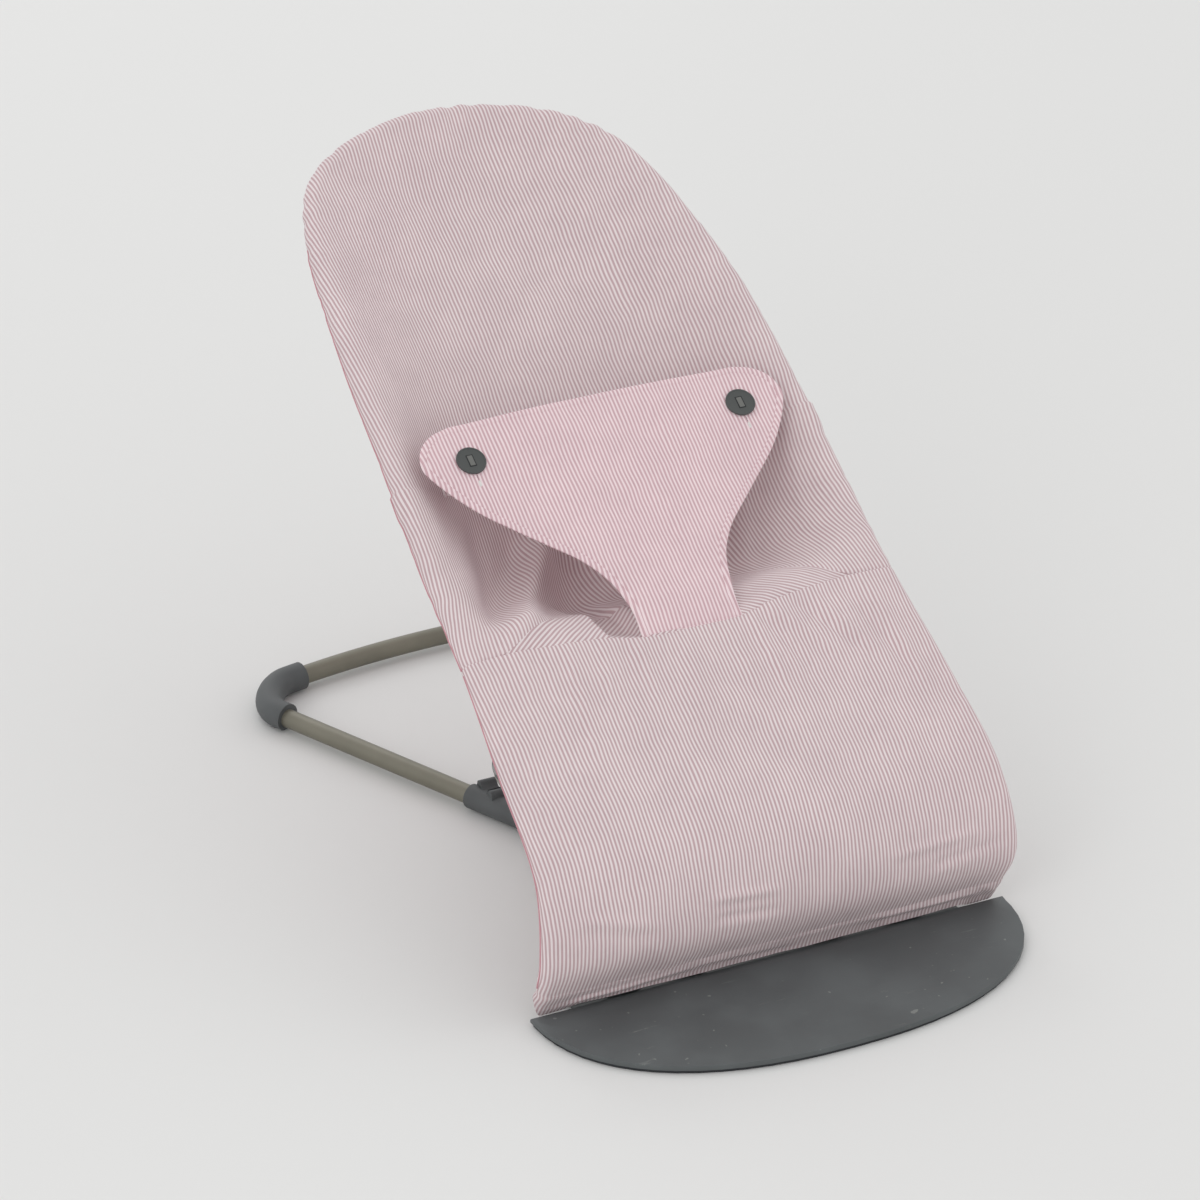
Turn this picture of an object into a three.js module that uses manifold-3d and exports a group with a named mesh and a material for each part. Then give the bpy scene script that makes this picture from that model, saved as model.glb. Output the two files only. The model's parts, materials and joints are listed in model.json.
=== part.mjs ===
import * as THREE from 'three';
import { mergeVertices } from 'three/addons/utils/BufferGeometryUtils.js';
import Module from 'manifold-3d';

// A bouncer seat in millimetres. X runs across the seat, Y from the footplate to the rear bar, Z up.
// The footplate's straight rear edge lies on y = 0 while the pieces are made.

const wasm = await Module();
wasm.setup();

// Fits
const seatGap = 0.3;            // between pieces that touch
const cutReach = 60;            // cutting blocks and rods, longer than what they cut
const slackGap = 0.8;           // between a curved tube and the fabric round it

// Footplate
const plateHalfWidth = 195;
const plateDepth = 132;
const plateSquareness = 2.3;    // 2 is an ellipse, more is squarer
const plateHeight = 9;
const plateWall = 4;            // height of the plate's upright edge
const rimWidth = 12;            // sloping band round the plate's top
const soleHeight = 2.7;
const soleInset = 1.5;
const flangeHalfWidth = 160;
const flangeDepth = 40;         // behind the straight edge, under the seat
const flangeThickness = 2.2;

// Base tubes
const baseTubeRadius = 7.5;
const baseTubeHeight = 11;      // centre line above the floor
const waistHalfWidth = 58;      // side tubes where they enter the footplate
const waistEnd = 195;           // where the side tubes begin to spread
const spreadStart = 242;        // where they run straight again
const spreadSlope = 0.426;      // sideways step per millimetre rearwards
const sideTubeEnd = 492;
const socketStart = 16;
const socketWall = 2.6;
const rearBarHalfWidth = 146;
const rearBarLine = 540.6;      // rear bar's ends
const rearBarBow = 15.4;

// Corner caps and feet
const capRadius = 11;
const capSweep = 18;            // how far the elbow runs on before it turns
const capHeight = 11.6;         // centre line above the floor
const capFrontLength = 9;       // straight part over the side tube
const capRearLength = 13;       // straight part over the rear bar
const footPadRadius = 8;
const footPadHeight = 1.7;
const footPadOffset = 5;        // pad outwards and rearwards of the elbow's ends

// Notched sleeves
const sleeveRadius = 9.75;
const sleeveFront = 13;         // sleeve beyond its front tooth
const sleeveRear = 14;          // and beyond its rear tooth
const toothRise = 2;            // top of the middle tooth above the sleeve
const toothLength = 12;
const toothWidth = 15;
const toothInset = 4;           // centre of a tooth, inwards from the tube

// Seat frame
const frameTubeRadius = 5.5;
const hingeLine = 5;            // y of the hinge bar
const hingeHeight = 13.5;
const clampPlace = 118;         // hinge clamps, from the middle
const clampWidth = 26;
const clampWall = 3;
const clampFootHeight = 3;
const clampMouth = 1;           // how far the clamp's open front lies behind the front of the bar
const screwRadius = 2.6;
const screwHeadRadius = 4;
const screwHeadHeight = 1.6;

// Half of the seat frame, from the hinge bar to the top of the head: how far the tube lies inside the
// plate's half width, its y and its height.
const frameStations = [
  [35, hingeLine, hingeHeight],
  [25, hingeLine, hingeHeight],
  [15, 2.5, 17.5],
  [10.5, -6, 32],
  [7.5, -18, 61],
  [12.5, -1, 116],
  [17.5, 66, 165],
  [24.5, 142, 214],
  [26.5, 215, 261],
  [30.5, 291, 315],
  [35.5, 369, 364],
  [55.5, 477, 417],
  [77, 522, 437],
  [117, 550, 449.5],
  [plateHalfWidth, 566.5, 457],
];
const cornerStations = 3;       // the first stations, which turn from the hinge bar into the leg
const seamStation = 7;          // leg panel above, hammock below

// Fabric
const fabricThickness = 2;
const hemThickness = 1.6;
const panelBulge = 7;           // how far the leg panel's middle stands out at its top
const panelDip = 13;            // how far the top edge dips in the middle
const panelLow = 10;            // lowest edge of the leg panel
const hammockDepth = 66;
const pocketFrontLength = 34;   // from the seam to the join with the seat pocket
const pocketLength = 95;        // from the seam to the join with the hammock
const dipReach = 90;            // length over which the pocket's lower edge straightens out

// Restraint
const bibThickness = 2.6;
const bibLift = 18.5;           // middle of the bib above the plane of the frame
const bibArch = 4.5;            // fall of the bib from its middle to the buttons
const bibFromSeam = -11.5;      // its lower end, along the seat from the seam
// Half of the bib: distance along the seat from its lower end, and half width.
const bibOutline = [
  [0, 41], [16, 40.5], [31, 42.5], [51, 48], [72, 61], [92, 81], [112, 102],
  [136, 126], [162, 144], [176, 149.5], [190, 145], [199, 134], [203.5, 118],
];
const buttonPlace = 112;
const buttonAlong = 174.5;
const buttonRadius = 11.5;
const buttonHeight = 3;
const buttonNeckRadius = 3;
const buttonholeRadius = 4;
const tabWidth = 24;
const tabThickness = 1.2;
const tabEndLift = 4.2;         // a tab's outer end above the frame line, at the hem

// Support
const supportTubeRadius = 4.5;
const pivotStation = 6;         // brackets sit just above this station
const pivotBeyond = 18;
const pivotDrop = 14;           // pivot below the frame tube
const bracketThickness = 5;
const bracketRadius = 8;
const pinRadius = 3;
const eyeRadius = 7;
const eyeWidth = 9;
const eyeReach = 22;            // straight end of a strut at its eye
const footReach = 250;          // y of the crossbar at rest
const footHalfWidth = 84;       // outer bend of the support
const footBend = 14;
const crossbarHalfWidth = 48;
const gripLength = 19;
const gripWall = 1.2;
const reclineStops = [-12, 0, 11];   // degrees from the middle position

const colours = {
  plate: 0x4b5154,
  rubber: 0x26282a,
  tube: 0x7b756a,
  cap: 0x5b5e5e,
  steel: 0x9a9a98,
  fabric: 0xdcc3c8,
  hem: 0xd3b6bd,
  button: 0x55595a,
};

const bouncer = new THREE.Group();

function addPart(name, geometry, colour, roughness, metalness) {
  const material = new THREE.MeshStandardMaterial({ color: colour, roughness, metalness });
  const mesh = new THREE.Mesh(faceOutward(geometry), material);
  mesh.name = name;
  bouncer.add(mesh);
  return mesh;
}

// Turns a closed mesh's faces outwards where they point in.
function faceOutward(geometry) {
  const indexed = geometry.index ? geometry : mergeVertices(geometry);
  const corner = indexed.index.array;
  const place = indexed.attributes.position;
  const a = new THREE.Vector3();
  const b = new THREE.Vector3();
  const c = new THREE.Vector3();
  let volume = 0;
  for (let i = 0; i < corner.length; i += 3) {
    a.fromBufferAttribute(place, corner[i]);
    b.fromBufferAttribute(place, corner[i + 1]);
    c.fromBufferAttribute(place, corner[i + 2]);
    volume += a.dot(b.cross(c));
  }
  if (volume < 0) {
    for (let i = 0; i < corner.length; i += 3) {
      const second = corner[i + 1];
      corner[i + 1] = corner[i + 2];
      corner[i + 2] = second;
    }
  }
  return indexed;
}

function toSolid(geometry) {
  const bare = geometry.clone();
  bare.deleteAttribute('normal');
  bare.deleteAttribute('uv');
  const merged = faceOutward(mergeVertices(bare, 1e-4));
  return new wasm.Manifold(new wasm.Mesh({
    numProp: 3,
    vertProperties: Float32Array.from(merged.attributes.position.array),
    triVerts: Uint32Array.from(merged.index.array),
  }));
}

function fromSolid(solid) {
  const mesh = solid.getMesh();
  const geometry = new THREE.BufferGeometry();
  geometry.setAttribute('position', new THREE.BufferAttribute(Float32Array.from(mesh.vertProperties), 3));
  geometry.setIndex(Array.from(mesh.triVerts));
  return geometry;
}

function joinAll(geometries) {
  return geometries.map(toSolid).reduce((whole, piece) => whole.add(piece));
}

function cutAll(solid, geometries) {
  return geometries.map(toSolid).reduce((whole, piece) => whole.subtract(piece), solid);
}

function block(width, depth, height, x, y, z) {
  return new THREE.BoxGeometry(width, depth, height).translate(x, y, z);
}

// Cylinder along a direction, centred on a point.
function rod(radius, length, centre, direction, sides = 16) {
  const turn = new THREE.Quaternion();
  turn.setFromUnitVectors(new THREE.Vector3(0, 1, 0), direction.clone().normalize());
  const geometry = new THREE.CylinderGeometry(radius, radius, length, sides);
  return geometry.applyQuaternion(turn).translate(centre.x, centre.y, centre.z);
}

function circleShape(radius, sides) {
  const points = [];
  for (let i = 0; i < sides; i += 1) {
    const angle = (2 * Math.PI * (i + 0.5)) / sides;
    points.push(new THREE.Vector2(radius * Math.cos(angle), radius * Math.sin(angle)));
  }
  return new THREE.Shape(points);
}

function sweep(shape, path, steps) {
  return new THREE.ExtrudeGeometry(shape, { steps, extrudePath: path, bevelEnabled: false });
}

function tube(path, radius, steps, sides = 12) {
  return sweep(circleShape(radius, sides), path, steps);
}

// Stretch of a curve, from one distance to another.
class Stretch extends THREE.Curve {
  constructor(curve, start, end) {
    super();
    this.curve = curve;
    this.start = start;
    this.end = end;
  }

  getPoint(t) {
    const distance = THREE.MathUtils.lerp(this.start, this.end, t);
    return this.curve.getPointAt(THREE.MathUtils.clamp(distance / this.curve.getLength(), 0, 1));
  }
}

// Straight runs joined by round bends.
function bentPath(points, bend) {
  const path = new THREE.CurvePath();
  let from = points[0];
  for (let i = 1; i < points.length - 1; i += 1) {
    const corner = points[i];
    const before = corner.clone().sub(from).normalize().multiplyScalar(-bend).add(corner);
    const after = points[i + 1].clone().sub(corner).normalize().multiplyScalar(bend).add(corner);
    path.add(new THREE.LineCurve3(from, before));
    path.add(new THREE.QuadraticBezierCurve3(before, corner, after));
    from = after;
  }
  path.add(new THREE.LineCurve3(from, points[points.length - 1]));
  return path;
}

// Closed shell of even thickness about a grid of points.
function shell(grid, thickness) {
  const rows = grid.length;
  const columns = grid[0].length;
  const positions = [];
  const index = [];
  for (const side of [0.5, -0.5]) {
    for (let row = 0; row < rows; row += 1) {
      for (let column = 0; column < columns; column += 1) {
        const across = grid[row][Math.min(column + 1, columns - 1)].clone()
          .sub(grid[row][Math.max(column - 1, 0)]);
        const along = grid[Math.min(row + 1, rows - 1)][column].clone()
          .sub(grid[Math.max(row - 1, 0)][column]);
        const normal = across.cross(along).normalize();
        const point = grid[row][column].clone().addScaledVector(normal, side * thickness);
        positions.push(point.x, point.y, point.z);
      }
    }
  }
  const at = (side, row, column) => (side * rows + row) * columns + column;
  const quad = (a, b, c, d) => index.push(a, b, c, a, c, d);
  for (let row = 0; row < rows - 1; row += 1) {
    for (let column = 0; column < columns - 1; column += 1) {
      quad(at(0, row, column), at(0, row, column + 1), at(0, row + 1, column + 1), at(0, row + 1, column));
      quad(at(1, row, column), at(1, row + 1, column), at(1, row + 1, column + 1), at(1, row, column + 1));
    }
    quad(at(1, row, 0), at(0, row, 0), at(0, row + 1, 0), at(1, row + 1, 0));
    const last = columns - 1;
    quad(at(0, row, last), at(1, row, last), at(1, row + 1, last), at(0, row + 1, last));
  }
  for (let column = 0; column < columns - 1; column += 1) {
    const last = rows - 1;
    quad(at(0, 0, column + 1), at(0, 0, column), at(1, 0, column), at(1, 0, column + 1));
    quad(at(0, last, column), at(0, last, column + 1), at(1, last, column + 1), at(1, last, column));
  }
  const geometry = new THREE.BufferGeometry();
  geometry.setAttribute('position', new THREE.Float32BufferAttribute(positions, 3));
  geometry.setIndex(index);
  return geometry;
}

// Smooth value between listed pairs of place and value.
function between(pairs, place) {
  if (place <= pairs[0][0]) return pairs[0][1];
  for (let i = 1; i < pairs.length; i += 1) {
    if (place <= pairs[i][0]) {
      const share = (place - pairs[i - 1][0]) / (pairs[i][0] - pairs[i - 1][0]);
      const before = pairs[Math.max(i - 2, 0)];
      const after = pairs[Math.min(i + 1, pairs.length - 1)];
      const run = pairs[i][0] - pairs[i - 1][0];
      const slopeIn = (run * (pairs[i][1] - before[1])) / (pairs[i][0] - before[0]);
      const slopeOut = (run * (after[1] - pairs[i - 1][1])) / (after[0] - pairs[i - 1][0]);
      const s2 = share * share;
      const s3 = s2 * share;
      return pairs[i - 1][1] * (2 * s3 - 3 * s2 + 1) + slopeIn * (s3 - 2 * s2 + share)
        + pairs[i][1] * (3 * s2 - 2 * s3) + slopeOut * (s3 - s2);
    }
  }
  return pairs[pairs.length - 1][1];
}

// The seat frame's centre line: one loop from the hinge bar's left end, round the head, to its right end.

const leftPoints = frameStations.map(([inset, y, z]) => new THREE.Vector3(inset - plateHalfWidth, y, z));
const rightPoints = frameStations.slice(0, -1).reverse()
  .map(([inset, y, z]) => new THREE.Vector3(plateHalfWidth - inset, y, z));
const frameLine = new THREE.CatmullRomCurve3([...leftPoints, ...rightPoints], false, 'centripetal');
frameLine.arcLengthDivisions = 1200;
const frameLength = frameLine.getLength();

function distanceOfStation(station) {
  const share = station / (leftPoints.length + rightPoints.length - 1);
  const lengths = frameLine.getLengths(frameLine.arcLengthDivisions);
  return lengths[Math.round(share * frameLine.arcLengthDivisions)];
}

const seamDistance = distanceOfStation(seamStation);
const headDistance = distanceOfStation(frameStations.length - 4);
const topDistance = frameLength / 2;
const pivotDistance = distanceOfStation(pivotStation) + pivotBeyond;

// Place on the seat's side profile: half width of the tube's line, its middle point, and directions.
function profileAt(distance) {
  const point = frameLine.getPointAt(THREE.MathUtils.clamp(distance / frameLength, 0, 0.5));
  const tangent = frameLine.getTangentAt(Math.min(distance, headDistance) / frameLength);
  const along = new THREE.Vector3(0, tangent.y, tangent.z).normalize();
  const outward = new THREE.Vector3(0, -along.z, along.y);
  return { halfWidth: -point.x, middle: new THREE.Vector3(0, point.y, point.z), along, outward };
}

// Point on the fabric: across the seat, along it, and out of the plane of the frame.
function seatPoint(x, distance, lift) {
  const { middle, outward } = profileAt(distance);
  return middle.clone().addScaledVector(outward, lift).setX(x);
}

// Footplate

function plateOutline(inset) {
  const points = [];
  const steps = 32;
  const wide = plateHalfWidth - inset;
  const deep = plateDepth - inset;
  for (let i = 0; i <= steps; i += 1) {
    const angle = (Math.PI * i) / steps;
    const x = Math.sign(Math.cos(angle)) * wide * Math.abs(Math.cos(angle)) ** (2 / plateSquareness);
    const y = -deep * Math.sin(angle) ** (2 / plateSquareness);
    points.push(new THREE.Vector2(x, i % steps === 0 ? -inset : Math.min(y, -inset)));
  }
  return new THREE.Shape(points.reverse());
}

function slab(shape, low, height) {
  return new THREE.ExtrudeGeometry(shape, { depth: height, bevelEnabled: false }).translate(0, 0, low);
}

const plateBottom = soleHeight + seatGap;
const socketOuter = baseTubeRadius + seatGap + socketWall;
const clampRadius = frameTubeRadius + seatGap + clampWall;
const clampScrewLine = hingeLine + clampRadius + screwHeadRadius + 4 * seatGap;
const hookRadius = frameTubeRadius + slackGap + fabricThickness / 2;
// Room for the hinge bar, its clamps and the lower edge of the leg panel as the seat turns.
const troughRadius = Math.max(
  clampRadius + seatGap,
  Math.hypot(hookRadius + fabricThickness / 2, hingeHeight - panelLow) + 2 * seatGap,
);

function footplate() {
  const bevelHeight = plateHeight - plateBottom - plateWall;
  const crown = new THREE.ExtrudeGeometry(plateOutline(rimWidth), {
    depth: 1,
    bevelSize: rimWidth - 0.6,
    bevelThickness: bevelHeight,
    bevelSegments: 1,
  }).translate(0, 0, plateHeight - bevelHeight - 1);
  const flangeMiddle = plateBottom + flangeThickness / 2;
  const pieces = [
    slab(plateOutline(0), plateBottom, plateWall),
    block(2 * flangeHalfWidth, flangeDepth + 6, flangeThickness, 0, (flangeDepth - 6) / 2, flangeMiddle),
  ];
  const socketLength = flangeDepth - socketStart;
  const socketHeight = baseTubeHeight + socketOuter - plateBottom;
  for (const side of [-1, 1]) {
    pieces.push(block(
      2 * socketOuter, socketLength, socketHeight,
      side * waistHalfWidth, socketStart + socketLength / 2, plateBottom + socketHeight / 2,
    ));
  }
  const crownTrimmed = toSolid(crown).subtract(toSolid(
    block(3 * plateHalfWidth, 3 * plateDepth, plateHeight, 0, 0, plateBottom - plateHeight / 2),
  )).subtract(toSolid(block(3 * plateHalfWidth, plateDepth, 4 * plateHeight, 0, plateDepth / 2, 0)));
  const axis = new THREE.Vector3(0, 1, 0);
  const holes = [-1, 1].map((side) => rod(
    baseTubeRadius + seatGap, socketLength,
    new THREE.Vector3(side * waistHalfWidth, socketStart + socketWall + socketLength / 2, baseTubeHeight),
    axis,
  ));
  const trough = rod(
    troughRadius, 2 * plateHalfWidth + 10,
    new THREE.Vector3(0, hingeLine, hingeHeight), new THREE.Vector3(1, 0, 0), 24,
  );
  const screwHoles = screwPlaces().map((place) => rod(
    screwRadius + seatGap, cutReach, place, new THREE.Vector3(0, 0, 1),
  ));
  return cutAll(joinAll(pieces).add(crownTrimmed), [...holes, trough, ...screwHoles]);
}

function screwPlaces() {
  const places = [];
  for (const side of [-1, 1]) {
    for (const end of [-1, 1]) {
      const x = side * clampPlace + end * (clampWidth / 2 - screwHeadRadius - 1);
      places.push(new THREE.Vector3(x, clampScrewLine, plateBottom + flangeThickness));
    }
  }
  return places;
}

// Half-round clamp over the hinge bar, with a foot behind it for two screws.
function hingeClamp(side) {
  const low = plateBottom + flangeThickness + seatGap;
  const x = side * clampPlace;
  const across = new THREE.Vector3(1, 0, 0);
  const centre = new THREE.Vector3(x, hingeLine, hingeHeight);
  const footDepth = clampScrewLine + screwHeadRadius + 1 - hingeLine;
  const body = joinAll([
    rod(clampRadius, clampWidth, centre, across, 20),
    block(
      clampWidth, clampRadius, hingeHeight - low, x, hingeLine + clampRadius / 2, (hingeHeight + low) / 2,
    ),
    block(clampWidth, footDepth, clampFootHeight, x, hingeLine + footDepth / 2, low + clampFootHeight / 2),
  ]);
  const frontRoom = block(
    cutReach, cutReach, cutReach,
    x, hingeLine - frameTubeRadius + clampMouth - cutReach / 2, hingeHeight,
  );
  const lowRoom = block(cutReach, cutReach, cutReach, x, hingeLine, low - cutReach / 2);
  const bore = rod(frameTubeRadius + seatGap, cutReach, centre, across, 24);
  const screws = screwPlaces().map((place) => rod(
    screwRadius + seatGap, cutReach, place, new THREE.Vector3(0, 0, 1),
  ));
  return cutAll(body, [frontRoom, lowRoom, bore, ...screws]);
}

function screw(place) {
  const top = plateBottom + flangeThickness + 2 * seatGap + clampFootHeight;
  const profile = [
    new THREE.Vector2(0, plateBottom + seatGap),
    new THREE.Vector2(screwRadius, plateBottom + seatGap),
    new THREE.Vector2(screwRadius, top),
    new THREE.Vector2(screwHeadRadius, top),
    new THREE.Vector2(screwHeadRadius * 0.9, top + screwHeadHeight),
    new THREE.Vector2(0, top + screwHeadHeight),
  ];
  return new THREE.LatheGeometry(profile, 12).rotateX(Math.PI / 2).translate(place.x, place.y, 0);
}

addPart('footplate', fromSolid(footplate()), colours.plate, 0.55, 0);
addPart('footplate_sole', slab(plateOutline(soleInset), 0, soleHeight), colours.rubber, 0.9, 0);
for (const [name, side] of [['left', -1], ['right', 1]]) {
  addPart(`${name}_hinge_clamp`, fromSolid(hingeClamp(side)), colours.cap, 0.6, 0);
}
screwPlaces().forEach((place, i) => {
  addPart(`clamp_screw_${i + 1}`, screw(place), colours.steel, 0.35, 0.9);
});

// Base tubes

function sideTubeLine(side) {
  const spreadX = (y) => spreadAt(y) * side;
  const bendMiddle = (spreadStart + waistEnd) / 2;
  const path = new THREE.CurvePath();
  const point = (x, y) => new THREE.Vector3(x, y, baseTubeHeight);
  const waist = side * waistHalfWidth;
  path.add(new THREE.LineCurve3(point(waist, socketStart + socketWall + seatGap), point(waist, waistEnd)));
  path.add(new THREE.QuadraticBezierCurve3(
    point(waist, waistEnd), point(waist, bendMiddle), point(spreadX(spreadStart), spreadStart),
  ));
  path.add(new THREE.LineCurve3(
    point(spreadX(spreadStart), spreadStart), point(spreadX(sideTubeEnd), sideTubeEnd),
  ));
  return path;
}

// Half width of the side tubes' straight rear run.
function spreadAt(y) {
  return waistHalfWidth + spreadSlope * (y - (spreadStart + waistEnd) / 2);
}

function sideTubeX(y) {
  if (y >= spreadStart) return spreadAt(y);
  if (y <= waistEnd) return waistHalfWidth;
  const share = (y - waistEnd) / (spreadStart - waistEnd);
  return THREE.MathUtils.lerp(waistHalfWidth, spreadAt(spreadStart), share * share);
}

// Along a side tube, from its front end to the place where y is reached.
function alongSideTube(y) {
  const path = sideTubeLine(1);
  let low = 0;
  let high = 1;
  for (let i = 0; i < 30; i += 1) {
    const middle = (low + high) / 2;
    if (path.getPointAt(middle).y < y) low = middle;
    else high = middle;
  }
  return low * path.getLength();
}

function rearBarPoint(x) {
  const y = rearBarLine + rearBarBow * (1 - (x / rearBarHalfWidth) ** 2);
  return new THREE.Vector3(x, y, baseTubeHeight);
}

function rearBarLinePath() {
  const control = new THREE.Vector3(0, rearBarLine + 2 * rearBarBow, baseTubeHeight);
  return new THREE.QuadraticBezierCurve3(
    rearBarPoint(-rearBarHalfWidth), control, rearBarPoint(rearBarHalfWidth),
  );
}

// Elbow over the ends of a side tube and the rear bar.
function cornerCap(side) {
  const level = (point) => point.clone().setZ(capHeight);
  const tubeEnd = new THREE.Vector3(side * spreadAt(sideTubeEnd), sideTubeEnd, capHeight);
  const front = tubeEnd.clone().add(new THREE.Vector3(-side * spreadSlope, -1, 0)
    .normalize().multiplyScalar(capFrontLength));
  const barEnd = level(rearBarPoint(side * rearBarHalfWidth));
  const rear = level(rearBarPoint(side * (rearBarHalfWidth - capRearLength)));
  const onward = tubeEnd.clone().sub(front).setLength(capSweep).add(tubeEnd);
  const outward = barEnd.clone().sub(rear).setLength(capSweep).add(barEnd);
  const line = new THREE.CurvePath();
  line.add(new THREE.LineCurve3(front, tubeEnd));
  line.add(new THREE.CubicBezierCurve3(tubeEnd, onward, outward, barEnd));
  line.add(new THREE.LineCurve3(barEnd, rear));
  const elbow = toSolid(tube(line, capRadius, 16, 16));
  const cuts = [
    tube(sideTubeLine(side), baseTubeRadius + seatGap, 30),
    tube(rearBarLinePath(), baseTubeRadius + seatGap, 14),
    block(
      2 * cutReach, 2 * cutReach, cutReach,
      side * spreadAt(sideTubeEnd), sideTubeEnd, footPadHeight + seatGap - cutReach / 2,
    ),
  ];
  return cutAll(elbow, cuts);
}

function footPadPlace(side) {
  const outward = (spreadAt(sideTubeEnd) + rearBarHalfWidth) / 2 + footPadOffset;
  return new THREE.Vector3(side * outward, (sideTubeEnd + rearBarLine) / 2 + footPadOffset, 0);
}

function footPad(side) {
  const place = footPadPlace(side);
  return rod(
    footPadRadius, footPadHeight, place.setZ(footPadHeight / 2), new THREE.Vector3(0, 0, 1), 20,
  );
}

for (const [name, side] of [['left', -1], ['right', 1]]) {
  addPart(`${name}_side_tube`, tube(sideTubeLine(side), baseTubeRadius, 30), colours.tube, 0.45, 0.5);
  addPart(`${name}_corner_cap`, fromSolid(cornerCap(side)), colours.cap, 0.6, 0);
  addPart(`${name}_rear_foot`, footPad(side), colours.rubber, 0.9, 0);
}
addPart('rear_bar', tube(rearBarLinePath(), baseTubeRadius, 14), colours.tube, 0.45, 0.5);

// Support linkage, seen from the side. The crossbar's path over the sleeves follows from it.

const pivotProfile = profileAt(pivotDistance);
const pivot = pivotProfile.middle.clone().addScaledVector(pivotProfile.outward, -pivotDrop);
const gripRadius = supportTubeRadius + seatGap + gripWall;
const footHeight = baseTubeHeight + sleeveRadius + toothRise + gripRadius + seatGap;
const strutRun = footReach - pivot.y;
const strutDrop = pivot.z - footHeight;
// Turn of the strut per turn of the seat that keeps the crossbar level at rest.
const strutTurn = (pivot.y - hingeLine) / strutRun;

function crossbarAt(degrees) {
  const turn = THREE.MathUtils.degToRad(degrees);
  const fromHinge = new THREE.Vector2(pivot.y - hingeLine, pivot.z - hingeHeight);
  fromHinge.rotateAround(new THREE.Vector2(), turn);
  const strut = new THREE.Vector2(strutRun, -strutDrop).rotateAround(new THREE.Vector2(), -strutTurn * turn);
  return fromHinge.add(strut).add(new THREE.Vector2(hingeLine, hingeHeight));
}

function notchedSleeve(side) {
  const rear = crossbarAt(reclineStops[0]);
  const front = crossbarAt(reclineStops[reclineStops.length - 1]);
  const line = new Stretch(
    sideTubeLine(side), alongSideTube(front.x - sleeveFront), alongSideTube(rear.x + sleeveRear),
  );
  const pieces = [tube(line, sleeveRadius, 12, 16)];
  for (const stop of reclineStops) {
    const foot = crossbarAt(stop);
    const top = foot.y - gripRadius - seatGap;
    const x = side * (sideTubeX(foot.x) - toothInset);
    const height = top - baseTubeHeight;
    pieces.push(block(toothWidth, toothLength, height, x, foot.x, baseTubeHeight + height / 2));
  }
  return cutAll(joinAll(pieces), [tube(sideTubeLine(side), baseTubeRadius + seatGap, 30)]);
}

for (const [name, side] of [['left', -1], ['right', 1]]) {
  addPart(`${name}_notched_sleeve`, fromSolid(notchedSleeve(side)), colours.cap, 0.6, 0);
}

// Seat frame

const legEnd = seamDistance - seatGap;
const legSteps = 24;
addPart('front_bar', rod(
  frameTubeRadius, 2 * (plateHalfWidth - frameStations[0][0] - seatGap),
  new THREE.Vector3(0, hingeLine, hingeHeight), new THREE.Vector3(1, 0, 0), 12,
), colours.tube, 0.45, 0.5);
addPart('left_sprung_leg', tube(
  new Stretch(frameLine, 0, legEnd), frameTubeRadius, legSteps, 10,
), colours.tube, 0.45, 0.5);
addPart('right_sprung_leg', tube(
  new Stretch(frameLine, frameLength, frameLength - legEnd), frameTubeRadius, legSteps, 10,
), colours.tube, 0.45, 0.5);
const loopStart = 2 * seamDistance - legEnd;
const loopSteps = 50;
addPart('head_loop', tube(
  new Stretch(frameLine, loopStart, frameLength - loopStart), frameTubeRadius, loopSteps, 10,
), colours.tube, 0.45, 0.5);

// Brackets and pins of the support

const bracketInner = pivotProfile.halfWidth - 1;

function supportBracket(side) {
  const { middle, along } = pivotProfile;
  const lean = Math.atan2(along.z, along.y);
  const shape = new THREE.Shape();
  const topEdge = pivotDrop;
  shape.moveTo(-bracketRadius - 4, topEdge);
  shape.absarc(0, 0, bracketRadius, Math.PI, 2 * Math.PI, false);
  shape.lineTo(bracketRadius + 4, topEdge);
  shape.closePath();
  const plate = new THREE.ExtrudeGeometry(shape, {
    depth: bracketThickness, bevelEnabled: false, curveSegments: 10,
  });
  const basis = new THREE.Matrix4().makeBasis(
    new THREE.Vector3(0, Math.cos(lean), Math.sin(lean)),
    new THREE.Vector3(0, -Math.sin(lean), Math.cos(lean)),
    new THREE.Vector3(1, 0, 0),
  );
  const x = side < 0 ? -bracketInner - bracketThickness / 2 : bracketInner - bracketThickness / 2;
  plate.applyMatrix4(basis).translate(x, pivot.y, pivot.z);
  const tubeRoom = rod(
    frameTubeRadius + slackGap, cutReach, middle.clone().setX(side * pivotProfile.halfWidth), along, 16,
  );
  const pinRoom = rod(
    pinRadius + seatGap, cutReach, pivot.clone().setX(side * bracketInner), new THREE.Vector3(1, 0, 0), 16,
  );
  return cutAll(toSolid(plate), [tubeRoom, pinRoom]);
}

const eyeMiddle = bracketInner - bracketThickness / 2 - 2 * seatGap - eyeWidth / 2;

// Rivet through the bracket and the strut's eye.
function pivotPin(side) {
  const outer = bracketInner + bracketThickness / 2 + seatGap;
  const inner = eyeMiddle - eyeWidth / 2 - seatGap;
  const profile = [
    new THREE.Vector2(0, inner - 1.5),
    new THREE.Vector2(pinRadius + 1.5, inner - 1.5),
    new THREE.Vector2(pinRadius + 1.5, inner),
    new THREE.Vector2(pinRadius, inner),
    new THREE.Vector2(pinRadius, outer),
    new THREE.Vector2(pinRadius + 1.2, outer),
    new THREE.Vector2(pinRadius + 1.2, outer + 1.2),
    new THREE.Vector2(0, outer + 1.2),
  ];
  const turn = side < 0 ? Math.PI / 2 : -Math.PI / 2;
  return new THREE.LatheGeometry(profile, 14).rotateZ(turn).translate(0, pivot.y, pivot.z);
}

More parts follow.
